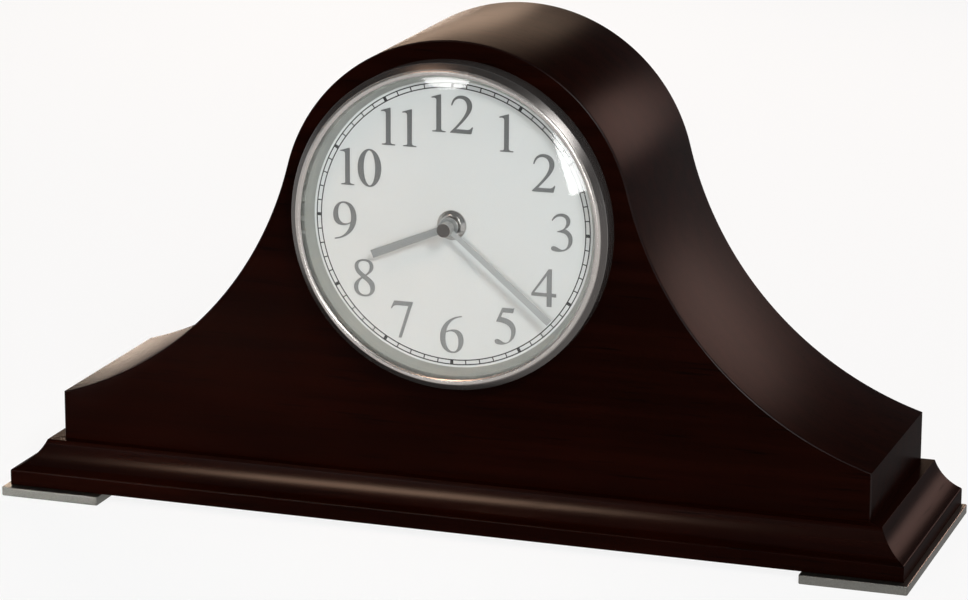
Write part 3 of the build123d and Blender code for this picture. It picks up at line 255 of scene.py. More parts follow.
def brushedMetal(name, colour, brushAxis, roughness, glancing=1.0):
    # glancing: how much of the shine is left at a low angle
    metal = Finish(name, {"Metallic": 1.0, "Specular Tint": grey(glancing)})
    scale = [brushLook["across"]] * 3
    scale["XYZ".index(brushAxis)] = brushLook["along"]
    lines = metal.noise(metal.stretched(scale), detail=2)
    smear = metal.noise(metal.place, scale=brushLook["smears"], detail=3)
    dull = tuple(channel * brushLook["dull"] for channel in colour[:3]) + (1,)
    metal.feed("Base Color", metal.blend(metal.between(lines, 0.3, 0.7), dull, colour))
    metal.feed("Roughness", roughness + 0.12 * smear + 0.06 * lines)
    metal.bump(lines, brushLook["relief"])
    return metal.material


turnLook = {"lines": 6000, "relief": 0.01 * mm, "smears": 45, "paintedRingShade": 0.18, "blur": 0.12 * mm,
            "rimFrom": 0.06 * mm, "rimTo": 0.16 * mm}


def turnedMetal(name, colour, roughness, relief=turnLook["relief"], metallic=1.0, zones=(), facing=None,
                lines=turnLook["lines"]):
    # zones: colours that take over beyond a radius, laid on as painted reflection; facing: depth and colour
    # of a front face painted dark, a painted reflection;
    # lines: per metre
    metal = Finish(name, {"Metallic": metallic})
    offset = metal.add("ShaderNodeVectorMath", {"operation": "SUBTRACT"},
                       {0: metal.place, 1: tuple(dialCentre)})
    flat = metal.add("ShaderNodeVectorMath", {"operation": "MULTIPLY"}, {0: offset, 1: (1, 0, 1)})
    radius = metal.add("ShaderNodeVectorMath", {"operation": "LENGTH"}, {0: flat}, "Value")
    depth = metal.part("Y")
    rings = metal.add("ShaderNodeTexNoise", {"noise_dimensions": "1D"},
                      {"W": (radius + depth) * lines, "Detail": 2.0})
    smear = metal.noise(metal.place, scale=turnLook["smears"], detail=3)
    # painted reflection: darker colour bands laid on by radius
    for edge, beyond in zones:
        past = metal.between(radius, edge - turnLook["blur"], edge + turnLook["blur"])
        colour = metal.blend(past, colour, beyond)
    # painted reflection: the front face is painted dark
    if facing:
        front, dark = facing
        face = metal.between(depth, front + turnLook["rimTo"], front + turnLook["rimFrom"])
        colour = metal.blend(face, colour, dark)
    # darker colour along the turning rings is painted shade in their grooves; the rings' bump is real relief
    paintedRingShade = turnLook["paintedRingShade"] * metal.between(rings, 0.7, 0.3)
    metal.feed("Base Color", metal.blend(paintedRingShade, colour, grey(0)))
    metal.feed("Roughness", roughness + 0.10 * smear + 0.05 * rings)
    metal.bump(rings, relief)
    return metal.material


# upper and lower tones, and where they fade, are painted reflection: darker at the top of the dial, lighter
# at the bottom
numeralLook = {"paintedDarkTop": (0.135, 0.138, 0.136, 1), "paintedLightBottom": (0.26, 0.265, 0.262, 1), "roughness": 0.42,
               "lines": (2400, 2400, 60), "relief": 0.006 * mm, "paintedFadeTop": 45 * mm, "paintedFadeBottom": 50 * mm}


def numeralSilver():
    # satin plate, brushed upwards, with a painted reflection: its colour runs darker at the top and lighter
    # towards six, standing in for the pale floor it mirrors
    plate = Finish("numeral silver", {"Metallic": 0.5})
    lines = plate.noise(plate.stretched(numeralLook["lines"]), detail=2)
    paintedReflection = plate.between(plate.part("Z"), dialCentre.z + numeralLook["paintedFadeTop"],
                        dialCentre.z - numeralLook["paintedFadeBottom"])
    colour = plate.blend(paintedReflection, numeralLook["paintedDarkTop"], numeralLook["paintedLightBottom"])
    plate.feed("Base Color", plate.blend(0.16 * lines, colour, grey(0)))
    plate.feed("Roughness", numeralLook["roughness"] + 0.1 * lines)
    plate.bump(lines, numeralLook["relief"])
    return plate.material


enamelLook = {"dark": (0.65, 0.67, 0.665, 1), "light": (0.69, 0.71, 0.705, 1), "grain": 2600, "cloud": 25,
              "roughness": 0.5, "relief": 0.008 * mm}


def dialEnamel():
    enamel = Finish("dial enamel", {"Specular IOR Level": 0.3})
    grain = enamel.noise(enamel.place, scale=enamelLook["grain"], detail=2)
    cloud = enamel.noise(enamel.place, scale=enamelLook["cloud"], detail=2)
    tone = grain * 0.5 + cloud * 0.5
    enamel.feed("Base Color", enamel.blend(tone, enamelLook["dark"], enamelLook["light"]))
    enamel.feed("Roughness", enamelLook["roughness"] + 0.15 * grain)
    enamel.bump(grain, enamelLook["relief"])
    return enamel.material


def printed(name, constants, dark, light, grainScale, roughness):
    ink = Finish(name, constants)
    grain = ink.noise(ink.place, scale=grainScale, detail=2)
    ink.feed("Base Color", ink.blend(grain, dark, light))
    ink.feed("Roughness", roughness + 0.2 * grain)
    return ink.material


glassLook = {"tint": (0.99, 0.995, 0.992, 1), "roughness": 0.03, "smear": 0.02, "smears": 30.0,
             "facing": 0.022}  # facing: share that each face reflects, seen square on


def clearGlass():
    glass = bpy.data.materials.new("clear glass")
    glass.use_nodes = True
    graph = Graph(glass.node_tree)
    output = glass.node_tree.nodes["Material Output"]
    place = graph.add("ShaderNodeTexCoord", out="Object")
    smear = graph.add("ShaderNodeTexNoise", None,
                      {"Vector": place, "Scale": glassLook["smears"], "Detail": 3.0})
    through = graph.add("ShaderNodeBsdfTransparent", None, {"Color": glassLook["tint"]})
    shine = graph.add("ShaderNodeBsdfGlossy", None,
                      {"Color": grey(1), "Roughness": glassLook["roughness"] + glassLook["smear"] * smear})
    tilt = graph.add("ShaderNodeLayerWeight", None, {"Blend": 0.5}, "Facing")
    share = glassLook["facing"] + (1 - glassLook["facing"]) * tilt ** 5
    mixed = graph.add("ShaderNodeMixShader", None, {0: share, 1: through, 2: shine})
    glass.node_tree.links.new(mixed.socket, output.inputs["Surface"])
    return glass


plasticLook = {"grain": 1500.0, "cloud": 30, "relief": 0.02 * mm}


def mouldedPlastic(name, low, high, roughness, grain=plasticLook["grain"], relief=plasticLook["relief"]):
    plastic = Finish(name, {"Specular IOR Level": 0.45})
    spark = plastic.noise(plastic.place, scale=grain, detail=3, roughness=0.7)
    cloud = plastic.noise(plastic.place, scale=plasticLook["cloud"], detail=2)
    plastic.feed("Base Color", plastic.blend(spark * 0.5 + cloud * 0.5, low, high))
    plastic.feed("Roughness", roughness + 0.15 * spark)
    plastic.bump(spark, relief)
    return plastic.material


# the darker gap tone between the turns is painted shade in the crevices
coilLook = {"gap": (0.26, 0.08, 0.03, 1), "wire": (0.75, 0.33, 0.16, 1), "turns": 1200.0, "roughness": 0.25,
            "relief": 0.06 * mm}


def copperWire():
    wire = Finish("copper wire", {"Metallic": 1.0})
    turns = wire.add("ShaderNodeTexWave", {"bands_direction": "X"},
                     {"Vector": wire.place, "Scale": coilLook["turns"]}, 1)
    wire.feed("Base Color", wire.blend(turns, coilLook["gap"], coilLook["wire"]))
    wire.feed("Roughness", coilLook["roughness"] + 0.2 * turns)
    wire.bump(turns, coilLook["relief"])
    return wire.material


circuitLook = {"mask": (0.012, 0.09, 0.035, 1), "track": (0.03, 0.20, 0.08, 1), "solder": (0.6, 0.6, 0.58, 1),
               "tracks": 220.0, "trackWidth": 0.06, "pads": 260.0, "padEdge": (0.16, 0.13), "roughness": 0.3}


def circuitGreen():
    board = Finish("circuit board", {})
    tracks = board.add("ShaderNodeTexBrick", None,
                       {"Vector": board.stretched((1, 1, 1), (math.pi / 2, 0, 0)),
                        "Scale": circuitLook["tracks"], "Mortar Size": circuitLook["trackWidth"],
                        "Color1": grey(0), "Color2": grey(0), "Mortar": grey(1)}, 1)
    pads = board.add("ShaderNodeTexVoronoi", None, {"Vector": board.place, "Scale": circuitLook["pads"]})
    solder = board.between(pads, *circuitLook["padEdge"])
    green = board.blend(tracks, circuitLook["mask"], circuitLook["track"])
    board.feed("Base Color", board.blend(solder, green, circuitLook["solder"]))
    board.feed("Metallic", solder)
    board.feed("Roughness", circuitLook["roughness"] + 0.15 * tracks)
    return board.material


jacketLook = {"dark": (0.018, 0.019, 0.022, 1), "band": (0.42, 0.25, 0.07, 1), "bare": grey(0.62),
              "scuff": grey(0.4), "scuffs": 180, "roughness": 0.26, "bandFrom": 9.3 * mm,
              "capFrom": 22.8 * mm, "baseFrom": -24.0 * mm, "soft": 0.3 * mm}


def cellJacket():
    jacket = Finish("cell jacket", {})
    along, soft = jacket.part("X"), jacketLook["soft"]
    scuff = jacket.noise(jacket.place, scale=jacketLook["scuffs"], detail=4)
    band = jacket.between(along, jacketLook["bandFrom"], jacketLook["bandFrom"] + soft)
    cap = jacket.between(along, jacketLook["capFrom"], jacketLook["capFrom"] + soft)
    bare = cap + jacket.between(along, jacketLook["baseFrom"], jacketLook["baseFrom"] - soft)
    colour = jacket.blend(band, jacketLook["dark"], jacketLook["band"])
    colour = jacket.blend(scuff * 0.12, colour, jacketLook["scuff"])
    jacket.feed("Base Color", jacket.blend(bare, colour, jacketLook["bare"]))
    jacket.feed("Metallic", bare * 0.8 + band * 0.2)
    jacket.feed("Roughness", jacketLook["roughness"] + 0.16 * scuff)
    return jacket.material


# one turned nickel ring: the shoulder and wall tones are painted darker than the bead, a painted reflection
# laid on in bands by radius
bezelLook = {"bead": (0.46, 0.43, 0.405, 1), "shoulder": (0.095, 0.087, 0.082, 1),
             "wall": (0.24, 0.225, 0.215, 1), "shoulderFrom": 3.4 * mm, "wallFrom": 0.9 * mm,
             "roughness": 0.18, "metallic": 0.8, "relief": 0.002 * mm, "lines": 1800}
# cap nut: the side keeps its nickel tone, the front face is painted dark as a painted reflection
nutLook = {"side": (0.55, 0.54, 0.52, 1), "face": (0.085, 0.074, 0.068, 1), "roughness": 0.24,
           "relief": 0.002 * mm}
bezelLow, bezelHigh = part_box("bezel_ring")
bezelPaintedBands = [(bezelHigh.x - bezelLook[zone + "From"], bezelLook[zone]) for zone in ("shoulder", "wall")]
nutPaintedDarkFace = (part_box("hand_nut")[0].y, nutLook["face"])
finishes = {
    "espresso_wood": espressoWood("espresso wood along", "X", frontLook),
    "back_board": backBoard(),
    "plain_wood": plainWood("plain wood"),
    "satin_nickel": brushedMetal("satin nickel", (0.168, 0.164, 0.149, 1), "Y", 0.30, glancing=0.57),
    "bezel_metal": turnedMetal("bezel metal", bezelLook["bead"], bezelLook["roughness"], bezelLook["relief"],
                               bezelLook["metallic"], bezelPaintedBands, lines=bezelLook["lines"]),
    "ring_silver": turnedMetal("inner ring silver", (0.47, 0.48, 0.447, 1), 0.34, metallic=0.65),
    "clear_glass": clearGlass(),
    "dial_white": dialEnamel(),
    "silver_metal": turnedMetal("hand silver", (0.30, 0.31, 0.305, 1), 0.42, metallic=0.6),
    "polished_nickel": turnedMetal("polished nickel", (0.46, 0.44, 0.42, 1), 0.08, relief=0.002 * mm),
    "brass": brushedMetal("brass", (0.72, 0.50, 0.21, 1), "Z", 0.24),
    "steel": brushedMetal("zinc steel", (0.58, 0.585, 0.60, 1), "X", 0.30),
    "black_plastic": mouldedPlastic("black plastic", grey(0.012), grey(0.024), 0.42),
    "white_plastic": mouldedPlastic("white plastic", (0.66, 0.65, 0.60, 1), (0.76, 0.75, 0.71, 1), 0.35,
                                    grain=900),
    "ferrite": mouldedPlastic("ferrite", grey(0.03), grey(0.055), 0.5, grain=2400, relief=0.04 * mm),
    "copper_wire": copperWire(),
    "black_rubber": mouldedPlastic("black rubber", grey(0.010), grey(0.018), 0.7, grain=1100,
                                   relief=0.03 * mm),
    "green_board": circuitGreen(),
    "cone_paper": mouldedPlastic("cone paper", grey(0.014), grey(0.03), 0.75, grain=1800, relief=0.06 * mm),
    "cell_jacket": cellJacket(),
}
sideWood = espressoWood("espresso wood across", "Y", bandLook)
hollowWood = espressoWood("espresso wood hollow", "X", bandLook, hollowLook)
# the minute hand's silver is the hand silver painted lighter, painted light
minuteSilverPaintedLight = turnedMetal("minute hand silver", (0.42, 0.43, 0.425, 1), 0.42, metallic=0.6)
nutNickelPaintedFace = turnedMetal("cap nut nickel", nutLook["side"], nutLook["roughness"], nutLook["relief"],
                        facing=nutPaintedDarkFace)
numeralFinish = numeralSilver()
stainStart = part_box("back_panel")[1].y - pineLook["stainDepth"]
baseWood = plainWood("base board wood", stainStart)
inkFinish = printed("dial ink", {"Specular IOR Level": 0.3}, grey(0.008), grey(0.022), 3000, 0.45)
printFinish = printed("white print", {}, grey(0.5), grey(0.66), 2500, 0.5)
print("finishes made")


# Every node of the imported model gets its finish

for part in frame["record"]["subparts"]:
    slots = nodes[part["node"]].material_slots
    slots[0].material = finishes[part["material_slot"]]
nodes["base_board"].material_slots[0].material = baseWood


# Mesh helpers

weld = 0.002 * mm  # vertices nearer than this are one
# angles in degrees: faces up to flat join up, edges from arrisFrom are rounded, edges to smoothTo are smooth
softLook = {"flat": 0.4, "arrisFrom": 32, "smoothTo": 30}


def newPiece(name, mesh, finish, body, replaced=()):
    piece = bpy.data.objects.new(name, mesh)
    bpy.context.collection.objects.link(piece)
    mesh.materials.clear()
    mesh.materials.append(finish)
    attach(piece, body)
    if replaced:
        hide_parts(*replaced)


def evaluated(holder):
    graph = bpy.context.evaluated_depsgraph_get()
    mesh = bpy.data.meshes.new_from_object(holder.evaluated_get(graph), preserve_all_data_layers=True,
                                           depsgraph=graph)
    old = holder.data
    bpy.data.objects.remove(holder)
    bpy.data.meshes.remove(old)
    return mesh


def bevelled(mesh, width, segments):
    holder = bpy.data.objects.new("holder", mesh)
    bpy.context.collection.objects.link(holder)
    bevel = holder.modifiers.new("arris", "BEVEL")
    bevel.width = width
    bevel.segments = segments
    bevel.limit_method = "ANGLE"
    bevel.angle_limit = math.radians(softLook["arrisFrom"])
    weigh = holder.modifiers.new("weigh", "WEIGHTED_NORMAL")
    weigh.keep_sharp = True
    return evaluated(holder)


def mergedCopy(nodeName):
    work = bmesh.new()
    work.from_mesh(nodes[nodeName].data)
    bmesh.ops.remove_doubles(work, verts=work.verts, dist=weld)
    flat = math.radians(softLook["flat"])
    bmesh.ops.dissolve_limit(work, angle_limit=flat, verts=work.verts, edges=work.edges)
    for face in work.faces:
        face.smooth = True
    mesh = bpy.data.meshes.new(nodeName + " soft")
    work.to_mesh(mesh)
    work.free()
    return mesh


def soften(nodeName, width, finish, body, segments=2):
    mesh = bevelled(mergedCopy(nodeName), width, segments)
    newPiece(nodeName + "_soft", mesh, finish, body, [nodeName])


# Case: one skin of wood over the front, the arched top and the ends

caseShape = {"flankRadius": 164.9 * mm, "endRise": 22.4 * mm, "skin": 5.0 * mm, "endWall": 10.0 * mm,
             "frontArris": 0.8 * mm, "rearArris": 0.6 * mm, "frontWall": 10.0 * mm, "baseArris": 0.3 * mm,
             "crownSteps": 120, "flankSteps": 48, "roundSteps": 5, "sharp": 28}


def caseOutline(inset, side):
    # left foot of the arch, up over the crown and down to the right foot, drawn in by inset
    half = panelHigh.x
    ledge = panelLow.z
    crown = panelHigh.z - dialCentre.z
    flank = caseShape["flankRadius"]
    rise = ledge + caseShape["endRise"] - dialCentre.z
    span = math.hypot(half, rise)
    reach = crown + flank
    along = (reach ** 2 - flank ** 2 + span ** 2) / (2 * span)
    aside = math.sqrt(reach ** 2 - along ** 2)
    hub = Vector(((along * half - aside * rise) / span, dialCentre.z + (along * rise + aside * half) / span))
    meet = math.atan2(hub.x, hub.y - dialCentre.z)
    stop = math.asin((hub.x - (half - side)) / (flank + inset))
    right = []
    for step in range(caseShape["crownSteps"] // 2):
        angle = meet * step / (caseShape["crownSteps"] // 2)
        right.append(((crown - inset) * math.sin(angle), dialCentre.z + (crown - inset) * math.cos(angle)))
    for step in range(caseShape["flankSteps"] + 1):
        angle = meet + (stop - meet) * step / caseShape["flankSteps"]
        right.append((hub.x - (flank + inset) * math.sin(angle), hub.y - (flank + inset) * math.cos(angle)))
    right.append((half - side, ledge))
    return [(-x, z) for x, z in reversed(right[1:])] + right


def caseSkin():
    face, rear = panelLow.y, caseRear
    front, back = caseShape["frontArris"], caseShape["rearArris"]
    steps = caseShape["roundSteps"]
    turns = [math.pi / 2 * step / steps for step in range(steps + 1)]
    loops = [(face + front * (1 - math.cos(turn)), front * (1 - math.sin(turn)), front * (1 - math.sin(turn)))
             for turn in turns]
    loops += [(rear - back * (1 - math.sin(turn)), back * (1 - math.cos(turn)), back * (1 - math.cos(turn)))
              for turn in turns]
    loops.append((rear, caseShape["skin"], caseShape["endWall"]))
    loops.append((face + caseShape["frontWall"], caseShape["skin"], caseShape["endWall"]))
    work = bmesh.new()
    rows = [[work.verts.new((x, y, z)) for x, z in caseOutline(inset, side)] for y, inset, side in loops]
    for near, far in zip(rows, rows[1:]):
        for index in range(len(near) - 1):
            work.faces.new((near[index], near[index + 1], far[index + 1], far[index]))
    work.faces.new(rows[0][::-1])
    work.faces.new(rows[-1])
    underside = [row[0] for row in rows] + [row[-1] for row in reversed(rows)]
    work.faces.new(underside)
    bmesh.ops.recalc_face_normals(work, faces=work.faces)
    for shape in work.faces:
        shape.smooth = True
    mesh = bpy.data.meshes.new("case skin")
    work.to_mesh(mesh)
    work.free()
    mesh.set_sharp_from_angle(angle=math.radians(caseShape["sharp"]))
    return mesh


newPiece("case_wood", caseSkin(), finishes["espresso_wood"], "case",
         ["front_panel", "top_skin", "end_panel_left", "end_panel_right"])
for name, finish in (("base_moulding_front", hollowWood), ("base_moulding_left", sideWood),
                     ("base_moulding_right", sideWood)):
    soften(name, caseShape["baseArris"], finish, "case")
print("case and base made")


# Geometry Nodes trees, with named inputs for their sizes

class Tree(Graph):
    def __init__(self, name, labels):
        super().__init__(bpy.data.node_groups.new(name, "GeometryNodeTree"))
        face = self.tree.interface
        face.new_socket("Places", in_out="INPUT", socket_type="NodeSocketGeometry")
        for label in labels:
            face.new_socket(label, in_out="INPUT", socket_type="NodeSocketFloat")
        face.new_socket("Finish", in_out="INPUT", socket_type="NodeSocketMaterial")
        face.new_socket("Shape", in_out="OUTPUT", socket_type="NodeSocketGeometry")
        self.entry = self.tree.nodes.new("NodeGroupInput")

    def size(self, label):
        return Wire(self, self.entry.outputs[label])

    def vector(self, x=0.0, y=0.0, z=0.0):
        return self.add("ShaderNodeCombineXYZ", None, {0: x, 1: y, 2: z})

    def box(self, x, y, z):
        return self.add("GeometryNodeMeshCube", None, {"Size": self.vector(x, y, z)})

    def moved(self, shape, shift, turn=(0, 0, 0)):
        return self.add("GeometryNodeTransform", None,
                        {"Geometry": shape, "Translation": shift, "Rotation": turn})

    def joined(self, shapes):
        return self.add("GeometryNodeJoinGeometry", None, {"Geometry": list(shapes)})

    def spread(self, places, shape, turn=(0, 0, 0)):
        return self.add("GeometryNodeInstanceOnPoints", None,
                        {"Points": places, "Instance": shape, "Rotation": turn})

    def close(self, shape):
        real = self.add("GeometryNodeRealizeInstances", None, {"Geometry": shape})
        dressed = self.add("GeometryNodeSetMaterial", None,
                           {"Geometry": real, "Material": self.size("Finish")})
        last = self.tree.nodes.new("NodeGroupOutput")
        self.tree.links.new(dressed.socket, last.inputs["Shape"])
        return self

    def grow(self, values, finish, places=((0, 0, 0),)):
        base = bpy.data.meshes.new("places")
        base.from_pydata(places, [], [])
        holder = bpy.data.objects.new("holder", base)
        bpy.context.collection.objects.link(holder)
        growth = holder.modifiers.new("growth", "NODES")
        growth.node_group = self.tree
        for item in self.tree.interface.items_tree:
            if item.in_out == "INPUT" and item.name != "Places":
                growth[item.identifier] = finish if item.name == "Finish" else values[item.name]
        mesh = evaluated(holder)
        for face in mesh.polygons:
            face.use_smooth = True
        mesh.set_sharp_from_angle(angle=math.radians(softLook["smoothTo"]))
        return mesh


def islands(nodeName):
    # box of each loose solid of a node
    work = bmesh.new()
    work.from_mesh(nodes[nodeName].data)
    bmesh.ops.remove_doubles(work, verts=work.verts, dist=weld)
    left = set(work.verts)
    boxes = []
    while left:
        edge = [left.pop()]
        found = list(edge)
        while edge:
            vert = edge.pop()
            for line in vert.link_edges:
                other = line.other_vert(vert)
                if other in left:
                    left.remove(other)
                    found.append(other)
                    edge.append(other)
        spans = [[vert.co[axis] for vert in found] for axis in range(3)]
        boxes.append(tuple(Vector([pick(span) for span in spans]) for pick in (min, max)))
    work.free()
    return sorted(boxes, key=lambda box: tuple(round(value, 5) for value in box[0]))


# Minute track printed on the dial: two circles, sixty ticks and twelve blocks

trackLook = {"Outer": 64.46 * mm, "Inner": 62.4 * mm, "Line": 0.52 * mm, "Tick": 0.52 * mm, "Block": 1.5 * mm,
             "Lift": 0.03 * mm}
trackParts = {"segments": 240, "ticks": 60, "blocks": 12, "tickRise": 1.6, "blockRise": 1.8}  # rises in lifts


def trackTree():
    tree = Tree("minute track", trackLook)
    outer, inner, line, tick, block, lift = (tree.size(label) for label in trackLook)
    profile = tree.add("GeometryNodeCurvePrimitiveQuadrilateral", {"mode": "RECTANGLE"},
                       {"Width": line, "Height": lift * 2})
    shapes = []
    for radius in (outer, inner):
        path = tree.add("GeometryNodeCurvePrimitiveCircle", None,
                        {"Resolution": trackParts["segments"], "Radius": radius})
        shapes.append(tree.add("GeometryNodeCurveToMesh", None, {"Curve": path, "Profile Curve": profile}))
    outward = tree.add("FunctionNodeAlignRotationToVector", {"axis": "Y"},
                       {"Vector": tree.add("GeometryNodeInputPosition")})
    for kind, width in (("tick", tick), ("block", block)):
        ring = tree.add("GeometryNodeMeshCircle", None,
                        {"Vertices": trackParts[kind + "s"], "Radius": (outer + inner) * 0.5})
        bar = tree.box(width, outer - inner, lift * trackParts[kind + "Rise"])
        shapes.append(tree.spread(ring, bar, outward))
    return tree.close(tree.moved(tree.joined(shapes), tuple(dialCentre), (math.pi / 2, 0, 0)))


newPiece("minute_track", trackTree().grow(trackLook, inkFinish), inkFinish, "case")
print("minute track made")


# Screws: domed or countersunk heads with a cross recess, each turned as it came to rest

screwMesh = {"seed": 7, "headSides": 36, "headRings": 5, "shankSides": 24}
screwSets = {
    "back_screws": {"finish": "steel", "body": "case", "axis": "Y", "Seat": 4.0 * mm, "Head": 3.5 * mm,
                    "Rise": 2.4 * mm, "Dome": 0.7 * mm, "Shank": 2.0 * mm, "Length": 14.0 * mm,
                    "Slot": 0.85 * mm, "Reach": 4.4 * mm, "Deep": 1.1 * mm},
    "hinge_case_screws": {"finish": "brass", "body": "case", "axis": "Y", "Seat": 1.6 * mm, "Head": 1.4 * mm,
                          "Rise": 0.8 * mm, "Dome": 0.25 * mm, "Shank": 0.8 * mm, "Length": 4.0 * mm,
                          "Slot": 0.4 * mm, "Reach": 1.8 * mm, "Deep": 0.4 * mm},
    "movement_screws": {"finish": "steel", "body": "case", "axis": "Y", "Seat": 2.0 * mm, "Head": 1.85 * mm,
                        "Rise": 1.45 * mm, "Dome": 0.35 * mm, "Shank": 1.0 * mm, "Length": 15.0 * mm,
                        "Slot": 0.5 * mm, "Reach": 2.4 * mm, "Deep": 0.7 * mm},
    "foot_screws": {"finish": "steel", "body": "case", "axis": "Z", "Seat": 2.1 * mm, "Head": 3.85 * mm,
                    "Rise": 2.2 * mm, "Dome": 0.0, "Shank": 2.0 * mm, "Length": 11.6 * mm,
                    "Slot": 0.9 * mm, "Reach": 4.6 * mm, "Deep": 1.2 * mm},
}
screwSets["hinge_door_screws"] = {**screwSets["hinge_case_screws"], "body": "rear_door"}
screwSizes = ("Seat", "Head", "Rise", "Dome", "Shank", "Length", "Slot", "Reach", "Deep", "Turn")


def screwTree():
    tree = Tree("screws", screwSizes)
    wires = [tree.size(label) for label in screwSizes]
    seat, head, rise, dome, shank, length, slot, reach, deep, turn = wires
    cone = tree.add("GeometryNodeMeshCone", {"fill_type": "TRIANGLE_FAN"},
                    {"Vertices": screwMesh["headSides"], "Side Segments": 1,
                     "Fill Segments": screwMesh["headRings"], "Radius Top": head, "Radius Bottom": seat,
                     "Depth": rise})
    place = tree.add("GeometryNodeInputPosition")
    x, y, z = (tree.add("ShaderNodeSeparateXYZ", None, {"Vector": place}, axis) for axis in range(3))
    fall = (x * x + y * y) / (head * head) * dome * (z > rise * 0.5)
    domed = tree.add("GeometryNodeSetPosition", None, {"Geometry": cone, "Offset": tree.vector(z=0 - fall)})
    cross = [tree.box(reach, slot, deep * 2), tree.box(slot, reach, deep * 2)]
    bars = [tree.moved(bar, tree.vector(z=rise)) for bar in cross]
    cut = tree.add("GeometryNodeMeshBoolean", {"operation": "DIFFERENCE", "solver": "EXACT"},
                   {"Mesh 1": domed, "Mesh 2": bars})
    rod = tree.add("GeometryNodeMeshCylinder", None,
                   {"Vertices": screwMesh["shankSides"], "Radius": shank, "Depth": length})
    screw = tree.joined([cut, tree.moved(rod, tree.vector(z=length * -0.5))])
    spin = tree.add("FunctionNodeRandomValue", {"data_type": "FLOAT"},
                    {2: 0.0, 3: math.pi, "Seed": screwMesh["seed"]}, 1)
    facing = tree.add("FunctionNodeEulerToRotation", None, {0: tree.vector(x=turn)})
    rest = tree.add("FunctionNodeRotateRotation", {"rotation_space": "LOCAL"},
                    {0: facing, 1: tree.add("FunctionNodeEulerToRotation", None, {0: tree.vector(z=spin)})})
    return tree.close(tree.spread(tree.size("Places"), screw, rest))


screws = screwTree()
for name, look in screwSets.items():
    places = []
    for low, high in islands(name):
        middle = (low + high) / 2
        if look["axis"] == "Y":
            places.append((middle.x, high.y - look["Rise"], middle.z))
        else:
            places.append((middle.x, middle.y, low.z + look["Rise"]))
    values = {**look, "Turn": -math.pi / 2 if look["axis"] == "Y" else math.pi}
    finish = finishes[look["finish"]]
    mesh = screws.grow(values, finish, places)
    newPiece(name + "_turned", mesh, finish, look["body"], [name])
print("screws made,", len(screwSets), "sets")


# Bezel: a turned ring with a straight wall, a sloping shoulder and a bead whose lip holds the glass
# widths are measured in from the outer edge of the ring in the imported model

bezelShape = {"draw": 0.75 * mm, "wall": 5.15 * mm, "lip": 6.10 * mm, "beadFoot": 3.525 * mm,
              "beadRise": 0.7 * mm, "step": 0.35 * mm, "land": 0.12 * mm, "slope": 36, "round": 0.5 * mm,
              "lipDepth": 1.5 * mm, "edge": 0.18 * mm, "edgeSteps": 3, "roundSteps": 6, "beadSteps": 14,
              "steps": 288, "sharp": 32}


def arcPoints(middle, radius, start, stop, count):
    angles = [math.radians(start + (stop - start) * step / count) for step in range(count + 1)]
    return [(middle[0] + radius * math.cos(angle), middle[1] + radius * math.sin(angle)) for angle in angles]


def bezelProfile():
    # radius and depth, from the rear inner edge round by the outer wall to the lip
    reach, front, rear = bezelHigh.x, bezelLow.y, bezelHigh.y
    shape, edge, rounding = bezelShape, bezelShape["edge"], bezelShape["round"]
    outer, inner = reach - shape["draw"], reach - shape["wall"]
    foot, lip = reach - shape["beadFoot"], reach - shape["lip"]
    half = (foot - lip) / 2
    beadRadius = (half ** 2 + shape["beadRise"] ** 2) / (2 * shape["beadRise"])
    swing = math.degrees(math.asin(half / beadRadius))
    beadDepth = front + shape["beadRise"]
    stepDepth, land = beadDepth + shape["step"], foot + shape["land"]
    slope = math.radians(shape["slope"])
    turn = stepDepth + (math.sin(slope) * (outer - rounding - land) + rounding) / math.cos(slope)
    points = [(inner, rear)]
    points += arcPoints((outer - edge, rear - edge), edge, 90, 0, shape["edgeSteps"])
    points += arcPoints((outer - rounding, turn), rounding, 0, shape["slope"] - 90, shape["roundSteps"])
    points += [(land, stepDepth), (foot, stepDepth), (foot, beadDepth)]
    beadHub = (foot - half, front + beadRadius)
    points += arcPoints(beadHub, beadRadius, swing - 90, -swing - 90, shape["beadSteps"])[1:]
    lipHub = (lip + edge, front + shape["lipDepth"] - edge)
    points += arcPoints(lipHub, edge, 180, 90, shape["edgeSteps"])
    return points + [(inner, front + shape["lipDepth"])]


def lathe(name, profile, steps, sharp, closed=True):
    # an open profile starts and ends on the axis
    work = bmesh.new()
    rows = []
    for step in range(steps):
        angle = 2 * math.pi * step / steps
        across, up = math.sin(angle), math.cos(angle)
        rows.append([work.verts.new((radius * across, depth, dialCentre.z + radius * up))
                     for radius, depth in profile])
    for near, far in zip(rows, rows[1:] + rows[:1]):
        for index in range(len(profile) if closed else len(profile) - 1):
            after = (index + 1) % len(profile)
            work.faces.new((near[index], near[after], far[after], far[index]))
    bmesh.ops.remove_doubles(work, verts=work.verts, dist=weld)
    bmesh.ops.recalc_face_normals(work, faces=work.faces)
    for face in work.faces:
        face.smooth = True
    mesh = bpy.data.meshes.new(name)
    work.to_mesh(mesh)
    work.free()
    mesh.set_sharp_from_angle(angle=math.radians(sharp))
    return mesh


bezelMesh = lathe("bezel", bezelProfile(), bezelShape["steps"], bezelShape["sharp"])
newPiece("bezel_ring_turned", bezelMesh, finishes["bezel_metal"], "case", ["bezel_ring"])
print("bezel turned")


# Glass: a shallow dome of even thickness with a flat rim under the bezel's lip

lensShape = {"land": 1.8 * mm, "thick": 1.8 * mm, "rings": 30, "steps": 192, "sharp": 10}
lensLow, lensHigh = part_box("lens")


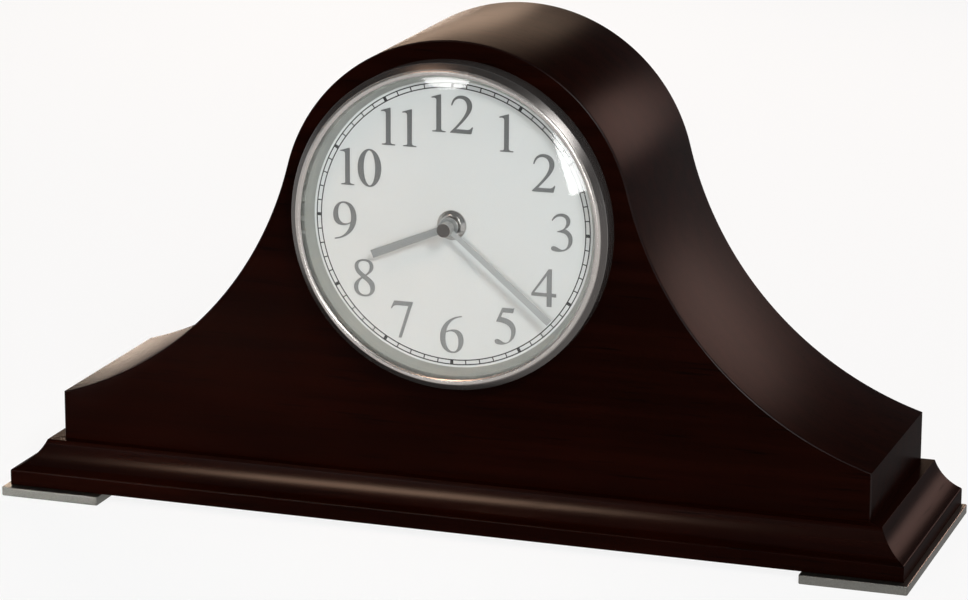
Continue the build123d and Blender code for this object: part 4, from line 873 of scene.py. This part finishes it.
def lensProfile():
    # radius and depth, from the middle of the outer face round by the rim to the middle of the inner face
    thick, rim = lensShape["thick"], lensHigh.y
    dome = lensHigh.x - lensShape["land"]
    crown = rim - thick - lensLow.y
    radius = (dome ** 2 + crown ** 2) / (2 * crown)
    swing = math.degrees(math.asin(dome / radius))
    outer = arcPoints((0, lensLow.y + radius), radius, -90, swing - 90, lensShape["rings"])
    inner = [(x, y + thick) for x, y in reversed(outer)]
    return outer + [(lensHigh.x, rim - thick), (lensHigh.x, rim)] + inner


lensMesh = lathe("lens", lensProfile(), lensShape["steps"], lensShape["sharp"], closed=False)
newPiece("lens_turned", lensMesh, finishes["clear_glass"], "case", ["lens"])
print("glass turned")


# Softened edges on the dial, the hands, the feet and the back: width in mm, segments, finish, slot and body

softPieces = {
    "numerals": (0.10, 2, numeralFinish, "silver_metal", "case"),
    "hour_hand": (0.12, 2, finishes["silver_metal"], "silver_metal", "hour_hand_tube"),
    "minute_hand": (0.12, 2, minuteSilverPaintedLight, "silver_metal", "minute_hand_shaft"),
    "dial_nut": (0.20, 3, finishes["polished_nickel"], "polished_nickel", "case"),
    "hand_nut": (0.30, 3, nutNickelPaintedFace, "polished_nickel", "minute_hand_shaft"),
    "foot_plate_left": (0.30, 2, finishes["satin_nickel"], "satin_nickel", "case"),
    "foot_plate_right": (0.30, 2, finishes["satin_nickel"], "satin_nickel", "case"),
    "back_panel": (0.35, 2, finishes["back_board"], "back_board", "case"),
    "rear_door": (0.45, 2, finishes["back_board"], "back_board", "rear_door"),
}
for name, (width, segments, finish, slot, body) in softPieces.items():
    soften(name, width * mm, finish, body, segments)
print("softened pieces made,", len(softPieces))


# Marks on the back of the movement: an arc of ticks round the volume knob, rows beside the ribbed switches

arcLook = {"Radius": 8.6 * mm, "Sweep": math.radians(280), "Count": 11, "Width": 0.45 * mm,
           "Height": 1.3 * mm, "Lift": 0.06 * mm}
rowLook = {"Width": 0.5 * mm, "Height": 1.3 * mm, "Lift": 0.06 * mm}
ribLook = {"Width": 0.5 * mm, "Height": 3.6 * mm, "Lift": 0.35 * mm}
switches = {"chime_switch": ((-3, 0, 3), 1), "night_switch": ((0, 5), -1)}  # stops in mm, side of the marks
markOffset = 3.4 * mm
ribPitch = 1.1 * mm


def arcTree():
    tree = Tree("tick arc", [*arcLook, "Turn"])
    radius, sweep, count, width, height, lift, turn = (tree.size(label) for label in [*arcLook, "Turn"])
    arc = tree.add("GeometryNodeCurveArc", {"mode": "RADIUS"},
                   {"Resolution": count, "Radius": radius, "Start Angle": math.pi / 2 - sweep * 0.5,
                    "Sweep Angle": sweep})
    outward = tree.add("FunctionNodeAlignRotationToVector", {"axis": "Y"},
                       {"Vector": tree.add("GeometryNodeInputPosition")})
    ticks = tree.spread(arc, tree.box(width, height, lift * 2), outward)
    facing = tree.add("FunctionNodeEulerToRotation", None, {0: tree.vector(x=turn)})
    real = tree.add("GeometryNodeRealizeInstances", None, {"Geometry": ticks})
    return tree.close(tree.spread(tree.size("Places"), real, facing))


def rowTree():
    tree = Tree("tick row", rowLook)
    width, height, lift = (tree.size(label) for label in rowLook)
    return tree.close(tree.spread(tree.size("Places"), tree.box(width, lift * 2, height)))


def middleOf(nodeName):
    low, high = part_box(nodeName)
    return (low + high) / 2, high


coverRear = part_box("movement_rear_case")[1].y
volumeSpot = middleOf("volume_knob")[0]
arc = arcTree().grow({**arcLook, "Turn": math.pi / 2}, printFinish, [(volumeSpot.x, coverRear, volumeSpot.z)])
newPiece("volume_marks", arc, printFinish, "case")
bars = rowTree()
marks = []
for name, (stops, side) in switches.items():
    middle, high = middleOf(name)
    marks += [(middle.x + stop * mm, coverRear, middle.z + side * markOffset) for stop in stops]
    ribs = [(middle.x + step * ribPitch, high.y, middle.z) for step in (-1, 0, 1)]
    mesh = bars.grow(ribLook, finishes["black_plastic"], ribs)
    newPiece(name + "_ribs", mesh, finishes["black_plastic"], name)
newPiece("switch_marks", bars.grow(rowLook, printFinish, marks), printFinish, "case")
print("marks and ribs made")


# Floor, lights and camera

floorLook = {"size": 6.0, "colour": grey(0.86), "white": 0.88}
worldLook = {"light": 0.12, "colour": (0.93, 0.96, 1, 1), "white": 0.86, "fade": 0.30}


def seenDirectly(graph):
    # 1 where a ray comes from the camera, a gloss or the glass, 0 where it lights a surface
    path = graph.tree.nodes.new("ShaderNodeLightPath")
    rays = [Wire(graph, path.outputs["Is " + kind + " Ray"]) for kind in ("Camera", "Glossy", "Transmission")]
    return rays[0].maths("MAXIMUM", rays[0], rays[1].maths("MAXIMUM", rays[1], rays[2]))


def makeFloor():
    mesh = bpy.data.meshes.new("floor")
    half = floorLook["size"] / 2
    corners = [(-half, -half, 0), (half, -half, 0), (half, half, 0), (-half, half, 0)]
    mesh.from_pydata(corners, [], [(0, 1, 2, 3)])
    floor = bpy.data.objects.new("floor", mesh)
    bpy.context.collection.objects.link(floor)
    paint = bpy.data.materials.new("pale floor")
    paint.use_nodes = True
    graph = Graph(paint.node_tree)
    matt = graph.add("ShaderNodeBsdfDiffuse", None, {"Color": floorLook["colour"]})
    white = graph.add("ShaderNodeEmission", None, {"Color": grey(1), "Strength": 1.0})
    mixed = graph.add("ShaderNodeMixShader", None,
                      {0: seenDirectly(graph) * floorLook["white"], 1: matt, 2: white})
    below = graph.add("ShaderNodeNewGeometry", out="Backfacing")  # nothing to see from below
    clear = graph.add("ShaderNodeBsdfTransparent")
    mixed = graph.add("ShaderNodeMixShader", None, {0: below, 1: mixed, 2: clear})
    paint.node_tree.links.new(mixed.socket, paint.node_tree.nodes["Material Output"].inputs["Surface"])
    mesh.materials.append(paint)


lamps = {
    "key": {"at": (1.14, -1.49, 1.32), "aim": (0, -0.04, 0.13), "size": (0.55, 0.55),
            "power": 26.5, "spread": 180, "colour": (0.975, 0.99, 1)},
    "fill": {"at": (-0.515, -1.40, 0.695), "aim": (0, 0, 0.1), "size": (0.34, 0.14),
             "power": 1.8, "spread": 180, "colour": (1, 0.99, 0.98)},
    "glint": {"at": (0.322, -1.34, 0.272), "aim": (0.06, 0, 0.16), "size": (0.22, 0.35),
              "power": 0.42, "spread": 60, "colour": (1, 1, 1), "shape": "RECTANGLE", "roll": 19},
    "cove": {"at": (-0.255, -0.36, 0.60), "aim": (-0.03, -0.05, 0.02), "size": (0.33, 0.14),
             "power": 0.062, "spread": 27, "colour": (1, 0.65, 0.46)},
    "foot": {"at": (-0.54, -0.78, 0.045), "aim": (-0.19, -0.06, 0.003), "size": (0.26, 0.05),
             "power": 0.054, "spread": 20, "colour": (1, 0.99, 0.97)},
    "backLeft": {"at": (-0.78, 1.85, 0.54), "aim": (0, 0, 0.12), "size": (0.55, 0.56),
                 "power": 4.2, "spread": 90, "colour": (1, 0.70, 0.50)},
    "backLow": {"at": (-1.0, 1.83, 0.06), "aim": (-0.17, 0, 0.05), "size": (0.8, 0.10),
                "power": 0.39, "spread": 16, "colour": (1, 0.79, 0.63)},
    "backUpper": {"at": (-0.42, 1.85, 0.88), "aim": (0, 0, 0.15), "size": (0.6, 0.5),
                  "power": 1.7, "spread": 90, "colour": (1, 0.70, 0.50)},
    "backRight": {"at": (0.85, 1.86, 0.65), "aim": (0, 0, 0.12), "size": (0.62, 0.72),
                  "power": 3.5, "spread": 90, "colour": (1, 0.62, 0.53)},
}


def makeLamps():
    for name, lamp in lamps.items():
        data = bpy.data.lights.new(name, "AREA")
        data.shape = lamp.get("shape", "ELLIPSE")
        data.size, data.size_y = lamp["size"]
        data.energy = lamp["power"]
        data.spread = math.radians(lamp["spread"])
        data.color = lamp["colour"]
        light = bpy.data.objects.new(name, data)
        light.location = lamp["at"]
        facing = (Vector(lamp["aim"]) - Vector(lamp["at"])).to_track_quat("-Z", "Y")
        roll = Quaternion((0, 0, 1), math.radians(lamp.get("roll", 0)))
        light.rotation_euler = (facing @ roll).to_euler()
        light.visible_camera = False
        bpy.context.collection.objects.link(light)


def makeWorld():
    # dim sky light, shown white towards the horizon so that it runs on from the floor
    world = bpy.data.worlds.new("studio")
    world.use_nodes = True
    graph = Graph(world.node_tree)
    towards = graph.add("ShaderNodeTexCoord", out="Generated")
    height = graph.add("ShaderNodeSeparateXYZ", None, {"Vector": towards}, 2)
    bright = graph.between(height, worldLook["fade"], 0) * seenDirectly(graph)
    sky = world.node_tree.nodes["Background"].inputs
    sky["Color"].default_value = worldLook["colour"]
    graph.tree.links.new((worldLook["light"] + worldLook["white"] * bright).socket, sky["Strength"])
    bpy.context.scene.world = world


shot = {"azimuth": 18.689, "elevation": 14.626, "roll": 0.274, "distance": 1.775172,
        "target": (-0.002563, 0.009454, 0.095676), "lens": 142.963, "sensor": 36.0, "near": 0.05, "far": 50}


def makeCamera():
    azimuth, elevation, roll = (math.radians(shot[name]) for name in ("azimuth", "elevation", "roll"))
    back = Vector((math.sin(azimuth) * math.cos(elevation), -math.cos(azimuth) * math.cos(elevation),
                   math.sin(elevation)))
    across = Vector((math.cos(azimuth), math.sin(azimuth), 0))
    upright = back.cross(across)
    right = math.cos(roll) * across + math.sin(roll) * upright
    up = math.cos(roll) * upright - math.sin(roll) * across
    data = bpy.data.cameras.new("camera")
    data.lens = shot["lens"]
    data.sensor_width = shot["sensor"]
    data.sensor_fit = "HORIZONTAL"
    data.clip_start, data.clip_end = shot["near"], shot["far"]
    camera = bpy.data.objects.new("camera", data)
    bpy.context.collection.objects.link(camera)
    pose = Matrix((right, up, back)).transposed().to_4x4()
    pose.translation = Vector(shot["target"]) + back * shot["distance"]
    camera.matrix_world = pose
    bpy.context.scene.camera = camera


makeFloor()
makeLamps()
makeWorld()
makeCamera()
bpy.context.scene.view_settings.view_transform = "Standard"
print("floor, lights and camera made")
